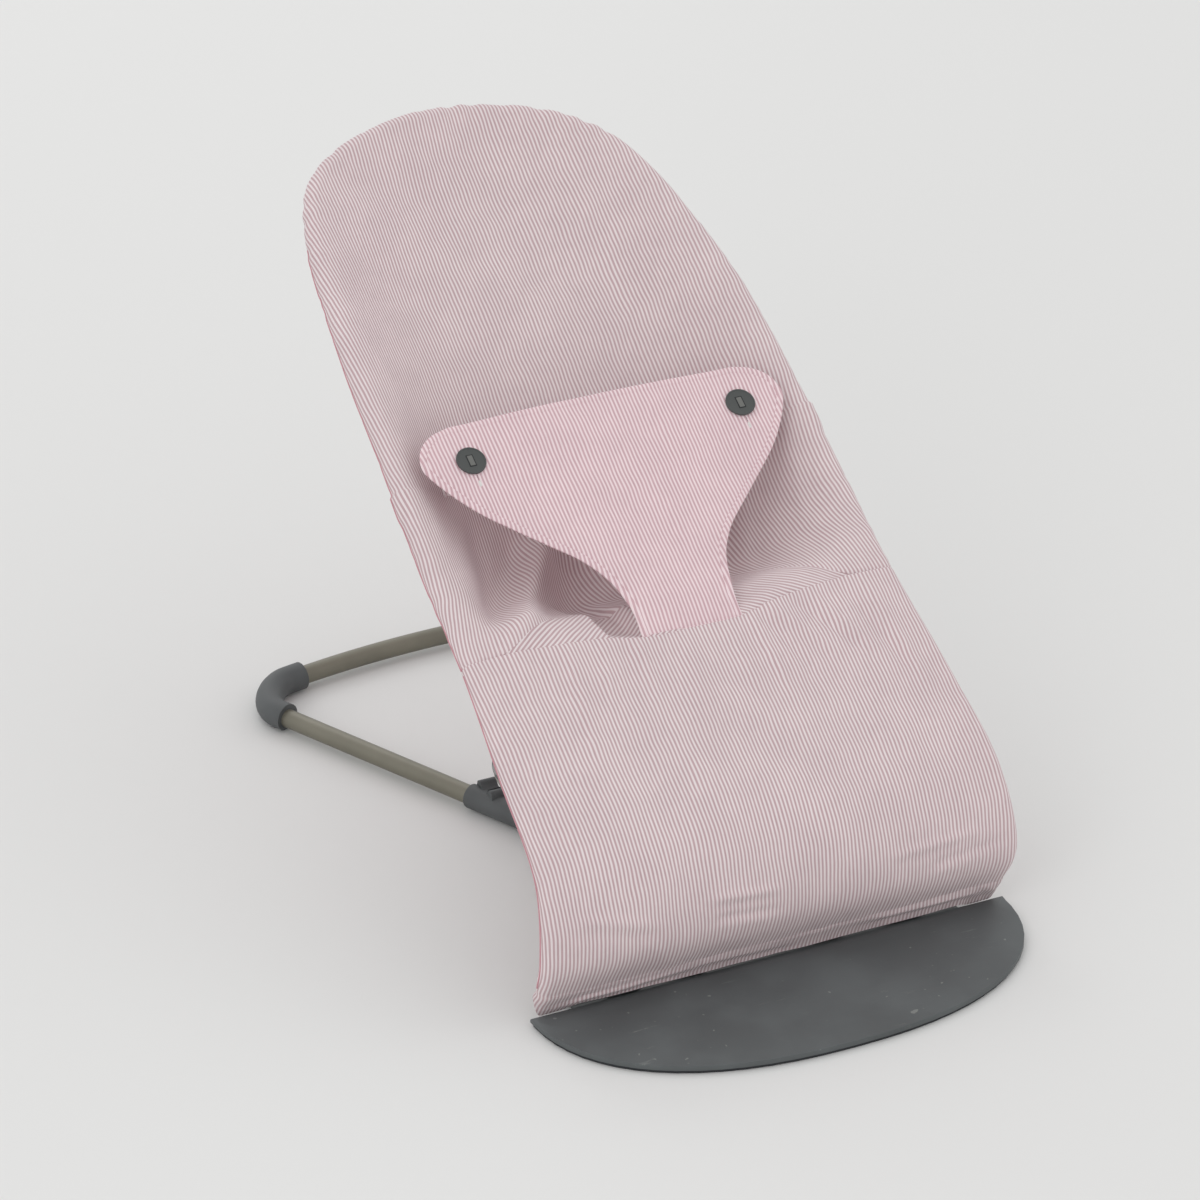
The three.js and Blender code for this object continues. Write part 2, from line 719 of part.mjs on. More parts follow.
for (const [name, side] of [['left', -1], ['right', 1]]) {
  addPart(`${name}_support_bracket`, fromSolid(supportBracket(side)), colours.cap, 0.5, 0.3);
  addPart(`${name}_pivot_pin`, pivotPin(side), colours.steel, 0.35, 0.9);
}

// Support: a strut on each side, a crossbar between them and a grip on each bend

function strut(side) {
  const eye = pivot.clone().setX(side * eyeMiddle);
  const corner = new THREE.Vector3(side * footHalfWidth, footReach, footHeight);
  const end = corner.clone().setX(side * (crossbarHalfWidth + seatGap));
  const start = corner.clone().setX(eye.x).sub(eye).setLength(pinRadius + 2).add(eye);
  const slant = corner.clone().setX(eye.x).sub(eye).setLength(eyeReach).add(eye);
  const wire = toSolid(tube(bentPath([start, slant, corner, end], footBend), supportTubeRadius, 24, 10));
  const across = new THREE.Vector3(1, 0, 0);
  const ring = toSolid(rod(eyeRadius, eyeWidth, eye, across, 18));
  const sideRoom = block(
    cutReach, cutReach, cutReach, side * (eyeMiddle + eyeWidth / 2 + cutReach / 2), pivot.y, pivot.z,
  );
  return cutAll(wire.add(ring), [rod(pinRadius + seatGap, cutReach, eye, across, 16), sideRoom]);
}

function footGrip(side) {
  const centre = new THREE.Vector3(
    side * (crossbarHalfWidth + 2 * seatGap + gripLength / 2), footReach, footHeight,
  );
  const across = new THREE.Vector3(1, 0, 0);
  const body = toSolid(rod(gripRadius, gripLength, centre, across, 18));
  return cutAll(body, [rod(supportTubeRadius + seatGap, gripLength + 2, centre, across, 18)]);
}

for (const [name, side] of [['left', -1], ['right', 1]]) {
  addPart(`${name}_support_strut`, fromSolid(strut(side)), colours.tube, 0.45, 0.5);
  addPart(`${name}_foot_grip`, fromSolid(footGrip(side)), colours.cap, 0.6, 0);
}
addPart('support_crossbar', rod(
  supportTubeRadius, 2 * crossbarHalfWidth, new THREE.Vector3(0, footReach, footHeight),
  new THREE.Vector3(1, 0, 0), 12,
), colours.tube, 0.45, 0.5);

// Cover: leg panel, which wraps the front of the legs

function legPanelGrid() {
  const hookAngles = [235, 200, 165, 127, 90].map(THREE.MathUtils.degToRad);
  const acrossSteps = 9;
  const rows = 20;
  const legBottom = distanceOfStation(cornerStations);
  const skirt = [panelLow, (panelLow + frameStations[cornerStations][2]) / 2];
  const skirtForward = [0, 0.45 * (hingeLine - frameStations[cornerStations][1])];
  const grid = [];
  const hook = (side, place, sideways) => hookAngles.map((angle) => place(
    side, sideways + hookRadius * Math.cos(angle), hookRadius * Math.sin(angle),
  ));
  const pointAt = (share, x, lift, bow) => {
    const width = profileAt(legBottom).halfWidth;
    const dip = panelDip * Math.max(0, 1 - (x / width) ** 2);
    const distance = THREE.MathUtils.lerp(legBottom, seamDistance - 2 - dip, share);
    return seatPoint(x, distance, lift + bow);
  };
  for (let row = 0; row < rows + skirt.length; row += 1) {
    const inSkirt = row < skirt.length;
    const share = inSkirt ? 0 : (row - skirt.length) / (rows - 1);
    const { halfWidth } = profileAt(THREE.MathUtils.lerp(legBottom, seamDistance - 2, share));
    const bow = panelBulge * Math.sin((Math.PI / 2) * share) + 1;
    const place = (side, inward, lift) => {
      const point = pointAt(share, side * (halfWidth - inward), lift, 0);
      if (inSkirt) point.set(point.x, hingeLine - lift - skirtForward[row], skirt[row]);
      return point;
    };
    const left = hook(-1, place, 0);
    const right = hook(1, place, 0).reverse();
    const middle = [];
    for (let i = 1; i < acrossSteps; i += 1) {
      const x = THREE.MathUtils.lerp(-halfWidth, halfWidth, i / acrossSteps);
      const rise = bow * (1 - (x / halfWidth) ** 2);
      const point = pointAt(share, x, hookRadius, inSkirt ? 0 : rise);
      if (inSkirt) point.set(point.x, hingeLine - hookRadius - skirtForward[row], skirt[row]);
      middle.push(point);
    }
    grid.push([...left, ...middle, ...right]);
  }
  return grid;
}

addPart('leg_panel', shell(legPanelGrid(), fabricThickness), colours.fabric, 0.95, 0);

// Cover: the seat pocket and, above it, the hammock for the back and head

// Depth of the seat pocket and back below the frame, by distance up the seat from the seam.
const hammockDepths = [
  [0, -10], [18, 8], [38, 40], [66, 60], [110, hammockDepth], [200, 56], [300, 40], [400, 22], [500, 0],
];
const clothStart = seamDistance + 3;
const pocketFrontEnd = clothStart + pocketFrontLength;
const pocketEnd = clothStart + pocketLength;

// Cloth between the sides of the head loop, from one distance along the loop to another.
function clothGrid(start, end, rows, crowding) {
  const columns = 14;
  const inset = frameTubeRadius + slackGap;
  const grid = [];
  for (let row = 0; row <= rows; row += 1) {
    const distance = THREE.MathUtils.lerp(start, end, 1 - (1 - row / rows) ** crowding);
    const tangent = frameLine.getTangentAt(distance / frameLength);
    const { along, outward } = profileAt(distance);
    const inward = tangent.clone().cross(outward).normalize();
    const dip = panelDip * Math.max(0, 1 - (distance - clothStart) / dipReach) ** 2;
    const edge = frameLine.getPointAt(distance / frameLength).addScaledVector(inward, inset);
    const depth = between(hammockDepths, distance - seamDistance);
    const line = [];
    for (let column = 0; column <= columns; column += 1) {
      const place = -Math.cos((Math.PI * column) / columns);
      const point = edge.clone().setX(-edge.x * place);
      point.addScaledVector(outward, -depth * (1 - Math.abs(place) ** 2.3));
      point.addScaledVector(along, -dip * (1 - place ** 2));
      line.push(point);
    }
    grid.push(line);
  }
  return grid;
}

addPart('pocket_front', shell(
  clothGrid(clothStart, pocketFrontEnd, 5, 1), fabricThickness,
), colours.fabric, 0.95, 0);
addPart('pocket_cloth', shell(
  clothGrid(pocketFrontEnd + seatGap, pocketEnd, 8, 1), fabricThickness,
), colours.fabric, 0.95, 0);
addPart('hammock', shell(
  clothGrid(pocketEnd + seatGap, topDistance - 12, 19, 1.15), fabricThickness,
), colours.fabric, 0.95, 0);

// Hem round the head loop, open where the hammock leaves it
class HemPath extends Stretch {
  computeFrenetFrames(segments) {
    const tangents = [];
    const normals = [];
    const binormals = [];
    for (let i = 0; i <= segments; i += 1) {
      const tangent = this.getTangentAt(i / segments);
      const distance = THREE.MathUtils.lerp(this.start, this.end, i / segments);
      const { outward } = profileAt(Math.min(distance, frameLength - distance));
      const inward = tangent.clone().cross(outward).normalize();
      tangents.push(tangent);
      normals.push(inward);
      binormals.push(tangent.clone().cross(inward));
    }
    return { tangents, normals, binormals };
  }
}

function hemShape() {
  const inner = frameTubeRadius + slackGap;
  const outer = inner + hemThickness;
  const open = THREE.MathUtils.degToRad(62);
  const close = THREE.MathUtils.degToRad(360 - 24);
  const steps = 7;
  const points = [];
  for (let i = 0; i <= steps; i += 1) {
    const angle = THREE.MathUtils.lerp(open, close, i / steps);
    points.push(new THREE.Vector2(outer * Math.cos(angle), outer * Math.sin(angle)));
  }
  for (let i = steps; i >= 0; i -= 1) {
    const angle = THREE.MathUtils.lerp(open, close, i / steps);
    points.push(new THREE.Vector2(inner * Math.cos(angle), inner * Math.sin(angle)));
  }
  return new THREE.Shape(points);
}

addPart('edge_hem', sweep(
  hemShape(), new HemPath(frameLine, loopStart, frameLength - loopStart), loopSteps,
), colours.hem, 0.95, 0);

// Restraint: bib, buttons and the tabs under them

const bibLow = seamDistance + bibFromSeam;
const bibLiftAt = (x) => bibLift - bibArch * (x / buttonPlace) ** 2;

function bib() {
  const rows = 18;
  const columns = 10;
  const length = bibOutline[bibOutline.length - 1][0];
  const grid = [];
  for (let row = 0; row <= rows; row += 1) {
    const place = length * (1 - (1 - row / rows) ** 1.25);
    const halfWidth = between(bibOutline, place);
    const line = [];
    for (let column = 0; column <= columns; column += 1) {
      const x = THREE.MathUtils.lerp(-halfWidth, halfWidth, column / columns);
      line.push(seatPoint(x, bibLow + place, bibLiftAt(x)));
    }
    grid.push(line);
  }
  const holes = [-1, 1].map((side) => {
    const { centre, axis } = buttonFrame(side);
    return rod(buttonholeRadius, 20, centre, axis, 14);
  });
  return cutAll(toSolid(shell(grid, bibThickness)), holes);
}

function buttonFrame(side) {
  const x = side * buttonPlace;
  const distance = bibLow + buttonAlong;
  const centre = seatPoint(x, distance, bibLiftAt(x));
  const across = seatPoint(x + 1, distance, bibLiftAt(x + 1)).sub(centre);
  const axis = across.cross(profileAt(distance).along).normalize();
  return { centre, axis };
}

const tabLift = bibLiftAt(buttonPlace) - bibThickness / 2 - seatGap - tabThickness / 2 - 0.6;

function button(side) {
  const { centre, axis } = buttonFrame(side);
  const base = bibThickness / 2 + seatGap;
  const low = tabLift + tabThickness / 2 + seatGap + 0.2 - bibLiftAt(buttonPlace);
  const profile = [
    new THREE.Vector2(0, low),
    new THREE.Vector2(buttonNeckRadius, low),
    new THREE.Vector2(buttonNeckRadius, base),
    new THREE.Vector2(buttonRadius - 0.8, base),
    new THREE.Vector2(buttonRadius, base + 0.8),
    new THREE.Vector2(buttonRadius - 1.2, base + buttonHeight),
    new THREE.Vector2(buttonRadius - 3, base + buttonHeight - 0.6),
    new THREE.Vector2(0, base + buttonHeight - 0.8),
  ];
  const turn = new THREE.Quaternion().setFromUnitVectors(new THREE.Vector3(0, 1, 0), axis);
  return new THREE.LatheGeometry(profile, 20).applyQuaternion(turn).translate(centre.x, centre.y, centre.z);
}

function buttonTab(side) {
  const grid = [];
  const distance = bibLow + buttonAlong;
  const { halfWidth } = profileAt(distance);
  const hemRadius = frameTubeRadius + slackGap + hemThickness;
  const outer = halfWidth - Math.sqrt(hemRadius ** 2 - (tabEndLift - tabThickness / 2) ** 2) - seatGap;
  const inner = buttonPlace - tabWidth / 2;
  for (let row = 0; row <= 3; row += 1) {
    const place = distance + tabWidth * (row / 3 - 0.5);
    const line = [];
    for (let column = 0; column <= 6; column += 1) {
      const share = column / 6;
      const x = THREE.MathUtils.lerp(inner, outer, share);
      const lift = tabLift - (tabLift - tabEndLift) * Math.max(0, (share - 0.3) / 0.7);
      line.push(seatPoint(side * x, place, lift));
    }
    grid.push(line);
  }
  return shell(grid, tabThickness);
}

addPart('restraint_bib', fromSolid(bib()), colours.fabric, 0.95, 0);
for (const [name, side] of [['left', -1], ['right', 1]]) {
  addPart(`${name}_button`, button(side), colours.button, 0.5, 0);
  addPart(`${name}_button_tab`, buttonTab(side), colours.hem, 0.95, 0);
}

// The origin is on the floor under the middle of the whole seat.
const box = new THREE.Box3().setFromObject(bouncer);
const middle = box.getCenter(new THREE.Vector3());
bouncer.position.set(-middle.x, -middle.y, -box.min.z);

export default bouncer;
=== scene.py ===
import bisect
import json
import math

import bmesh
import bpy
from mathutils import Matrix, Vector, noise


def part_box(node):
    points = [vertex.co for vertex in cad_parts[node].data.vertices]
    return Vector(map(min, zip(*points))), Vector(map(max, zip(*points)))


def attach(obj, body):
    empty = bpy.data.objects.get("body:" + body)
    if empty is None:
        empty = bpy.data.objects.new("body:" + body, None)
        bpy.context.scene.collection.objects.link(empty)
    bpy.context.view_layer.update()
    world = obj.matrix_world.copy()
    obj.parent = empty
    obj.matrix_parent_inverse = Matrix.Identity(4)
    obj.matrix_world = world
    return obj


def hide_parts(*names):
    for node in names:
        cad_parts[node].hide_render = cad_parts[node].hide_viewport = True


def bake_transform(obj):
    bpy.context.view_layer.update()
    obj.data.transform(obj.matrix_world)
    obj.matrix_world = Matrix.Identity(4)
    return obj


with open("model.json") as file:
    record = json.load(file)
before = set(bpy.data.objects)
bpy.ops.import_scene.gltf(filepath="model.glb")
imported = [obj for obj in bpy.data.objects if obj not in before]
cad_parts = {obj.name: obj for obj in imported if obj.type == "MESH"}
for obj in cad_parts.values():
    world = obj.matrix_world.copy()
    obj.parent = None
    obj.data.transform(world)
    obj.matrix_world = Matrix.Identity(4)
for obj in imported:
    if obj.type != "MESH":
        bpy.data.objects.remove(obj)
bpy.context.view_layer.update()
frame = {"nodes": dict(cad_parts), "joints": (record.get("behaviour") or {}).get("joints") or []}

cadNodes = frame["nodes"]
up = Vector((0, 0, 1))
sideways = Vector((1, 0, 0))
sides = (("left", -1), ("right", 1))
print("bouncer seat: frame loaded")

# small helpers

def toneOf(red, green, blue):
    # screen values to the linear values that the shader takes
    return tuple(((c / 255 + 0.055) / 1.055) ** 2.4 for c in (red, green, blue)) + (1,)


def scaled(tone, share):
    return tuple(min(c * share, 1) for c in tone[:3]) + (1,)


def smooth(value, low=0.0, high=1.0):
    share = min(max((value - low) / (high - low), 0), 1)
    return share * share * (3 - 2 * share)


def mix(a, b, share):
    return a + (b - a) * share


def between(pairs, place):
    # smooth value between listed pairs of place and value
    if place <= pairs[0][0]:
        return pairs[0][1]
    for i in range(1, len(pairs)):
        if place <= pairs[i][0]:
            run = pairs[i][0] - pairs[i - 1][0]
            share = (place - pairs[i - 1][0]) / run
            before, after = pairs[max(i - 2, 0)], pairs[min(i + 1, len(pairs) - 1)]
            slopeIn = run * (pairs[i][1] - before[1]) / (pairs[i][0] - before[0])
            slopeOut = run * (after[1] - pairs[i - 1][1]) / (after[0] - pairs[i - 1][0])
            s2, s3 = share ** 2, share ** 3
            return (pairs[i - 1][1] * (2 * s3 - 3 * s2 + 1) + slopeIn * (s3 - 2 * s2 + share)
                    + pairs[i][1] * (3 * s2 - 2 * s3) + slopeOut * (s3 - s2))
    return pairs[-1][1]


class Line:
    # points joined in order, read by distance from the first
    def __init__(self, points):
        self.points = points
        self.lengths = [0.0]
        for a, b in zip(points, points[1:]):
            self.lengths.append(self.lengths[-1] + (b - a).length)
        self.length = self.lengths[-1]

    def at(self, distance):
        i = bisect.bisect_right(self.lengths, distance) - 1
        i = min(max(i, 0), len(self.points) - 2)
        run = max(self.lengths[i + 1] - self.lengths[i], 1e-9)
        return self.points[i].lerp(self.points[i + 1], (distance - self.lengths[i]) / run)

    def direction(self, distance, step=0.0015):
        a, b = max(distance - step, 0), min(distance + step, self.length)
        return (self.at(b) - self.at(a)).normalized()


def smoothLine(points, steps):
    ends = [2 * points[0] - points[1]] + points + [2 * points[-1] - points[-2]]
    line = []
    for i in range(len(points) - 1):
        before, a, b, after = ends[i:i + 4]
        g0, g1, g2 = ((q - p).length ** 0.5 for p, q in ((before, a), (a, b), (b, after)))
        slopeA = ((a - before) / g0 - (b - before) / (g0 + g1) + (b - a) / g1) * g1
        slopeB = ((b - a) / g1 - (after - a) / (g1 + g2) + (after - b) / g2) * g1
        for k in range(steps):
            t = k / steps
            line.append(a * (2 * t ** 3 - 3 * t * t + 1) + slopeA * (t ** 3 - 2 * t * t + t)
                        + b * (3 * t * t - 2 * t ** 3) + slopeB * (t ** 3 - t * t))
    return line + [points[-1]]


def addObject(name, data):
    piece = bpy.data.objects.new(name, data)
    bpy.context.scene.collection.objects.link(piece)
    return piece


def newPiece(name, positions, faces, uvs=None, smoothed=True):
    mesh = bpy.data.meshes.new(name)
    mesh.from_pydata([tuple(p) for p in positions], [], faces)
    if uvs:
        layer = mesh.uv_layers.new(name="cloth")
        for loop in mesh.loops:
            layer.data[loop.index].uv = uvs[loop.vertex_index]
    if smoothed:
        mesh.polygons.foreach_set("use_smooth", [True] * len(mesh.polygons))
    mesh.update()
    return addObject(name, mesh)


def gridPiece(name, grid, uvGrid=None, wrapAcross=False):
    rows, columns = len(grid), len(grid[0])
    positions = [p for row in grid for p in row]
    uvs = [uv for row in uvGrid for uv in row] if uvGrid else None
    faces = []
    for r in range(rows - 1):
        for c in range(columns if wrapAcross else columns - 1):
            n = (c + 1) % columns
            faces.append((r * columns + c, r * columns + n,
                          (r + 1) * columns + n, (r + 1) * columns + c))
    return newPiece(name, positions, faces, uvs)


def mergeDoubles(piece, distance=0.00002):
    bm = bmesh.new()
    bm.from_mesh(piece.data)
    bmesh.ops.remove_doubles(bm, verts=bm.verts, dist=distance)
    bmesh.ops.dissolve_degenerate(bm, dist=1e-6, edges=bm.edges)
    bm.to_mesh(piece.data)
    bm.free()


def choose(piece):
    if bpy.context.object and bpy.context.object.mode != "OBJECT":
        bpy.ops.object.mode_set(mode="OBJECT")
    bpy.ops.object.select_all(action="DESELECT")
    piece.select_set(True)
    bpy.context.view_layer.objects.active = piece


def faceOutward(piece):
    choose(piece)
    bpy.ops.object.mode_set(mode="EDIT")
    bpy.ops.mesh.select_all(action="SELECT")
    bpy.ops.mesh.normals_make_consistent(inside=False)
    bpy.ops.object.mode_set(mode="OBJECT")


def applyModifier(piece, kind, **settings):
    choose(piece)
    modifier = piece.modifiers.new(kind.title(), kind)
    for key, value in settings.items():
        setattr(modifier, key, value)
    bpy.ops.object.modifier_apply(modifier=modifier.name)


def thicken(piece, thickness, offset=-1):
    applyModifier(piece, "SOLIDIFY", thickness=thickness, offset=offset)
    smoothByAngle(piece, 60)


def faceAlong(piece, direction):
    # turns the whole piece's faces over if they look against a direction
    total = sum(p.normal.dot(direction) * p.area for p in piece.data.polygons)
    if total < 0:
        piece.data.flip_normals()


def startPiece(name, add, **settings):
    bpy.ops.object.select_all(action="DESELECT")
    add(**settings)
    piece = bpy.context.object
    piece.name = name
    bpy.ops.object.transform_apply(location=True, rotation=True, scale=True)
    return piece


def smoothByAngle(piece, degrees=35):
    choose(piece)
    bpy.ops.object.shade_smooth_by_angle(angle=math.radians(degrees))


def dress(piece, material, body=None, replaces=()):
    piece.data.materials.clear()
    piece.data.materials.append(material)
    if body:
        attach(piece, body)
    if replaces:
        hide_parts(*replaces)
    return piece


# camera, floor and light

studio = {
    "aim": (-0.0373, -0.0185, 0.2146),
    "azimuth": -26.63,
    "elevation": 27.36,
    "distance": 4.2804,
    "lens": 173.4,
    "floor": toneOf(229, 229, 228),
    "floorSize": 14,
    "worldStrength": 0.86,
    "lights": (                     # name, place, aim, size, power
        ("leftSoftbox", (-2.3, -1.9, 1.9), (0, 0, 0.15), (1.3, 1.3), 11),
        ("rightSoftbox", (2.3, -1.7, 1.9), (0, 0, 0.15), (1.5, 1.5), 3.2),
        ("backSoftbox", (0.0, 3.4, 2.6), (0, 1.5, 0.0), (2.6, 1.6), 16)),
}


def placeCamera():
    azimuth, elevation = math.radians(studio["azimuth"]), math.radians(studio["elevation"])
    back = Vector((math.sin(azimuth) * math.cos(elevation),
                   -math.cos(azimuth) * math.cos(elevation), math.sin(elevation)))
    data = bpy.data.cameras.new("camera")
    data.sensor_width = 36
    data.lens = studio["lens"]
    camera = addObject("camera", data)
    camera.location = Vector(studio["aim"]) + back * studio["distance"]
    camera.rotation_euler = (-back).to_track_quat("-Z", "Y").to_euler()
    bpy.context.scene.camera = camera


def softLight(name, place, aim, size, power):
    data = bpy.data.lights.new(name, "AREA")
    data.shape = "RECTANGLE"
    data.size, data.size_y = size
    data.energy = power
    lamp = addObject(name, data)
    lamp.location = place
    lamp.rotation_euler = (Vector(aim) - Vector(place)).to_track_quat("-Z", "Y").to_euler()


def setStudio():
    scene = bpy.context.scene
    scene.view_settings.view_transform = "Standard"
    world = bpy.data.worlds.new("studio")
    world.use_nodes = True
    background = world.node_tree.nodes["Background"]
    background.inputs["Color"].default_value = (1, 1, 1, 1)
    background.inputs["Strength"].default_value = studio["worldStrength"]
    scene.world = world
    for light in studio["lights"]:
        softLight(*light)
    floor = startPiece("floor", bpy.ops.mesh.primitive_plane_add, size=studio["floorSize"],
                       location=(0, 2, 0))
    floor.data.materials.append(paleFloor)


# materials

def startMaterial(name):
    material = bpy.data.materials.new(name)
    material.use_nodes = True
    return material, Nodes(material.node_tree)


socketNames = {
    "colour": "Base Color",
    "roughness": "Roughness",
    "specular": "Specular IOR Level",
    "metallic": "Metallic",
    "sheen": "Sheen Weight",
    "sheenRoughness": "Sheen Roughness",
    "normal": "Normal",
}


class Nodes:
    # short names for the few nodes that the finishes use
    def __init__(self, tree):
        self.tree = tree
        self.shader = tree.nodes["Principled BSDF"]

    def link(self, a, b):
        self.tree.links.new(a, b)

    def add(self, kind, **settings):
        node = self.tree.nodes.new(kind)
        for key, value in settings.items():
            setattr(node, key, value)
        return node

    def feed(self, socket, value):
        if hasattr(value, "links"):
            self.link(value, socket)
        else:
            socket.default_value = value

    def finish(self, **values):
        for name, value in values.items():
            self.feed(self.shader.inputs[socketNames[name]], value)

    def sum(self, operation, a, b=0.0):
        node = self.add("ShaderNodeMath", operation=operation)
        self.feed(node.inputs[0], a)
        self.feed(node.inputs[1], b)
        return node.outputs[0]

    def scaledPlace(self, place, scale):
        mapping = self.add("ShaderNodeMapping")
        mapping.inputs["Scale"].default_value = scale
        self.link(place, mapping.inputs["Vector"])
        return mapping.outputs["Vector"]

    def objectPlace(self, scale=(1, 1, 1)):
        return self.scaledPlace(self.add("ShaderNodeTexCoord").outputs["Object"], scale)

    def clothPlace(self, scale=(1, 1, 1)):
        return self.scaledPlace(self.add("ShaderNodeUVMap", uv_map="cloth").outputs["UV"], scale)

    def noise(self, vector, scale, detail=2.0, roughness=0.5):
        node = self.add("ShaderNodeTexNoise")
        self.link(vector, node.inputs["Vector"])
        node.inputs["Scale"].default_value = scale
        node.inputs["Detail"].default_value = detail
        node.inputs["Roughness"].default_value = roughness
        return node.outputs["Fac"]

    def range(self, value, low, high, toLow=0.0, toHigh=1.0):
        node = self.add("ShaderNodeMapRange", interpolation_type="SMOOTHSTEP")
        self.link(value, node.inputs["Value"])
        for key, number in (("From Min", low), ("From Max", high),
                            ("To Min", toLow), ("To Max", toHigh)):
            node.inputs[key].default_value = number
        return node.outputs["Result"]

    def colour(self, share, a, b):
        node = self.add("ShaderNodeMix", data_type="RGBA")
        self.feed(node.inputs[0], share)
        self.feed(node.inputs[6], a)
        self.feed(node.inputs[7], b)
        return node.outputs[2]

    def bump(self, height, distance, strength=1.0, onto=None):
        node = self.add("ShaderNodeBump")
        node.inputs["Distance"].default_value = distance
        node.inputs["Strength"].default_value = strength
        self.link(height, node.inputs["Height"])
        if onto:
            self.link(onto, node.inputs["Normal"])
        return node.outputs["Normal"]


clothLook = {
    "stripePitch": 0.00305,
    "dyedShare": 0.5,
    "stripeEdge": 0.14,
    "yarnPitch": 0.00042,
    "wander": 0.0060,               # how far the stripes leave their line over a long way
    "shortWander": 0.0009,
    "slubScale": (2600, 90, 1),
    "cloudTone": (0.95, 0.945, 0.95, 1),
}


def stripedCotton(name, dyed, pale):
    material, nodes = startMaterial(name)
    place = nodes.clothPlace()
    split = nodes.add("ShaderNodeSeparateXYZ")
    nodes.link(place, split.inputs[0])
    across, along = split.outputs[0], split.outputs[1]
    for scale, reach in (((60, 9, 1), clothLook["shortWander"]), ((15, 17, 1), clothLook["wander"])):
        wander = nodes.sum("SUBTRACT", nodes.noise(nodes.clothPlace(scale), 1.0, 2), 0.5)
        across = nodes.sum("ADD", across, nodes.sum("MULTIPLY", wander, reach))
    count = nodes.sum("DIVIDE", across, clothLook["stripePitch"])
    fromMiddle = nodes.sum("ABSOLUTE", nodes.sum("SUBTRACT", nodes.sum("FRACT", count), 0.5))
    half = clothLook["dyedShare"] / 2
    edge = clothLook["stripeEdge"] / 2
    stripe = nodes.range(fromMiddle, half - edge, half + edge, 1.0, 0.0)
    slub = nodes.noise(nodes.clothPlace(clothLook["slubScale"]), 1.0, 3, 0.6)
    cloud = nodes.noise(nodes.clothPlace((26, 26, 1)), 1.0, 3)
    dyedTone = nodes.colour(nodes.range(slub, 0.35, 0.7), scaled(dyed, 0.88), dyed)
    paleTone = nodes.colour(nodes.range(slub, 0.3, 0.62), scaled(pale, 0.93), pale)
    tone = nodes.colour(stripe, paleTone, dyedTone)
    shade = nodes.colour(nodes.range(cloud, 0.3, 0.7), clothLook["cloudTone"], (1, 1, 1, 1))
    whole = nodes.add("ShaderNodeMix", data_type="RGBA", blend_type="MULTIPLY")
    whole.inputs[0].default_value = 1
    nodes.link(tone, whole.inputs[6])
    nodes.link(shade, whole.inputs[7])
    turns = 2 * math.pi / clothLook["yarnPitch"]
    warp = nodes.sum("SINE", nodes.sum("MULTIPLY", across, turns))
    weft = nodes.sum("SINE", nodes.sum("MULTIPLY", along, turns))
    weave = nodes.bump(nodes.sum("MULTIPLY", warp, weft), 0.00006, 0.5)
    soft = nodes.noise(nodes.clothPlace((95, 45, 1)), 1.0, 3, 0.55)
    nodes.finish(colour=whole.outputs[2], roughness=0.88, specular=0.22, sheen=0.12,
                 sheenRoughness=0.5, normal=nodes.bump(soft, 0.0016, 0.35, weave))
    return material


def threadFinish(name, tone):
    material, nodes = startMaterial(name)
    fibre = nodes.noise(nodes.objectPlace((900, 900, 900)), 1.0, 2)
    nodes.finish(colour=nodes.colour(fibre, scaled(tone, 0.8), tone), roughness=0.7,
                 normal=nodes.bump(fibre, 0.0001, 0.6))
    return material


def mouldedPlastic(name, tone, grain=0.5, roughness=0.5, scuffs=0.0, scuffTone=None):
    material, nodes = startMaterial(name)
    place = nodes.objectPlace()
    fine = nodes.noise(place, 1500, 2, 0.6)
    broad = nodes.noise(place, 14, 3, 0.55)
    colour = nodes.colour(nodes.range(broad, 0.35, 0.68), scaled(tone, 0.9), scaled(tone, 1.16))
    if scuffs:
        streaks = nodes.noise(nodes.objectPlace((38, 260, 120)), 1.0, 4, 0.7)
        patches = nodes.noise(nodes.objectPlace((17, 23, 19)), 1.0, 2)
        worn = nodes.sum("MULTIPLY", nodes.range(streaks, 0.6, 0.72), nodes.range(patches, 0.52, 0.68))
        colour = nodes.colour(nodes.sum("MULTIPLY", worn, scuffs), colour, scuffTone)
        dots = nodes.noise(place, 190, 1, 0.4)
        speck = nodes.sum("MULTIPLY", nodes.range(dots, 0.75, 0.8), scuffs)
        colour = nodes.colour(speck, colour, scuffTone)
    nodes.finish(colour=colour, specular=0.42, normal=nodes.bump(fine, 0.00012, grain),
                 roughness=nodes.range(broad, 0.3, 0.7, roughness - 0.06, roughness + 0.07))
    return material


def paintedTube(name, tone, metal=0.35, roughness=0.4):
    material, nodes = startMaterial(name)
    place = nodes.objectPlace()
    flake = nodes.noise(place, 2600, 1, 0.5)
    broad = nodes.noise(place, 22, 3, 0.5)
    share = nodes.sum("MULTIPLY", nodes.range(broad, 0.3, 0.7), flake)
    nodes.finish(colour=nodes.colour(share, scaled(tone, 0.86), scaled(tone, 1.14)), metallic=metal,
                 roughness=nodes.range(flake, 0.2, 0.8, roughness - 0.07, roughness + 0.08),
                 normal=nodes.bump(broad, 0.0008, 0.12, nodes.bump(flake, 0.00004, 0.4)))
    return material


def plainFloor():
    material, nodes = startMaterial("paleFloor")
    cloud = nodes.noise(nodes.objectPlace(), 0.7, 2)
    tone = studio["floor"]
    nodes.finish(colour=nodes.colour(cloud, scaled(tone, 0.985), tone), roughness=0.75, specular=0.2)
    return material


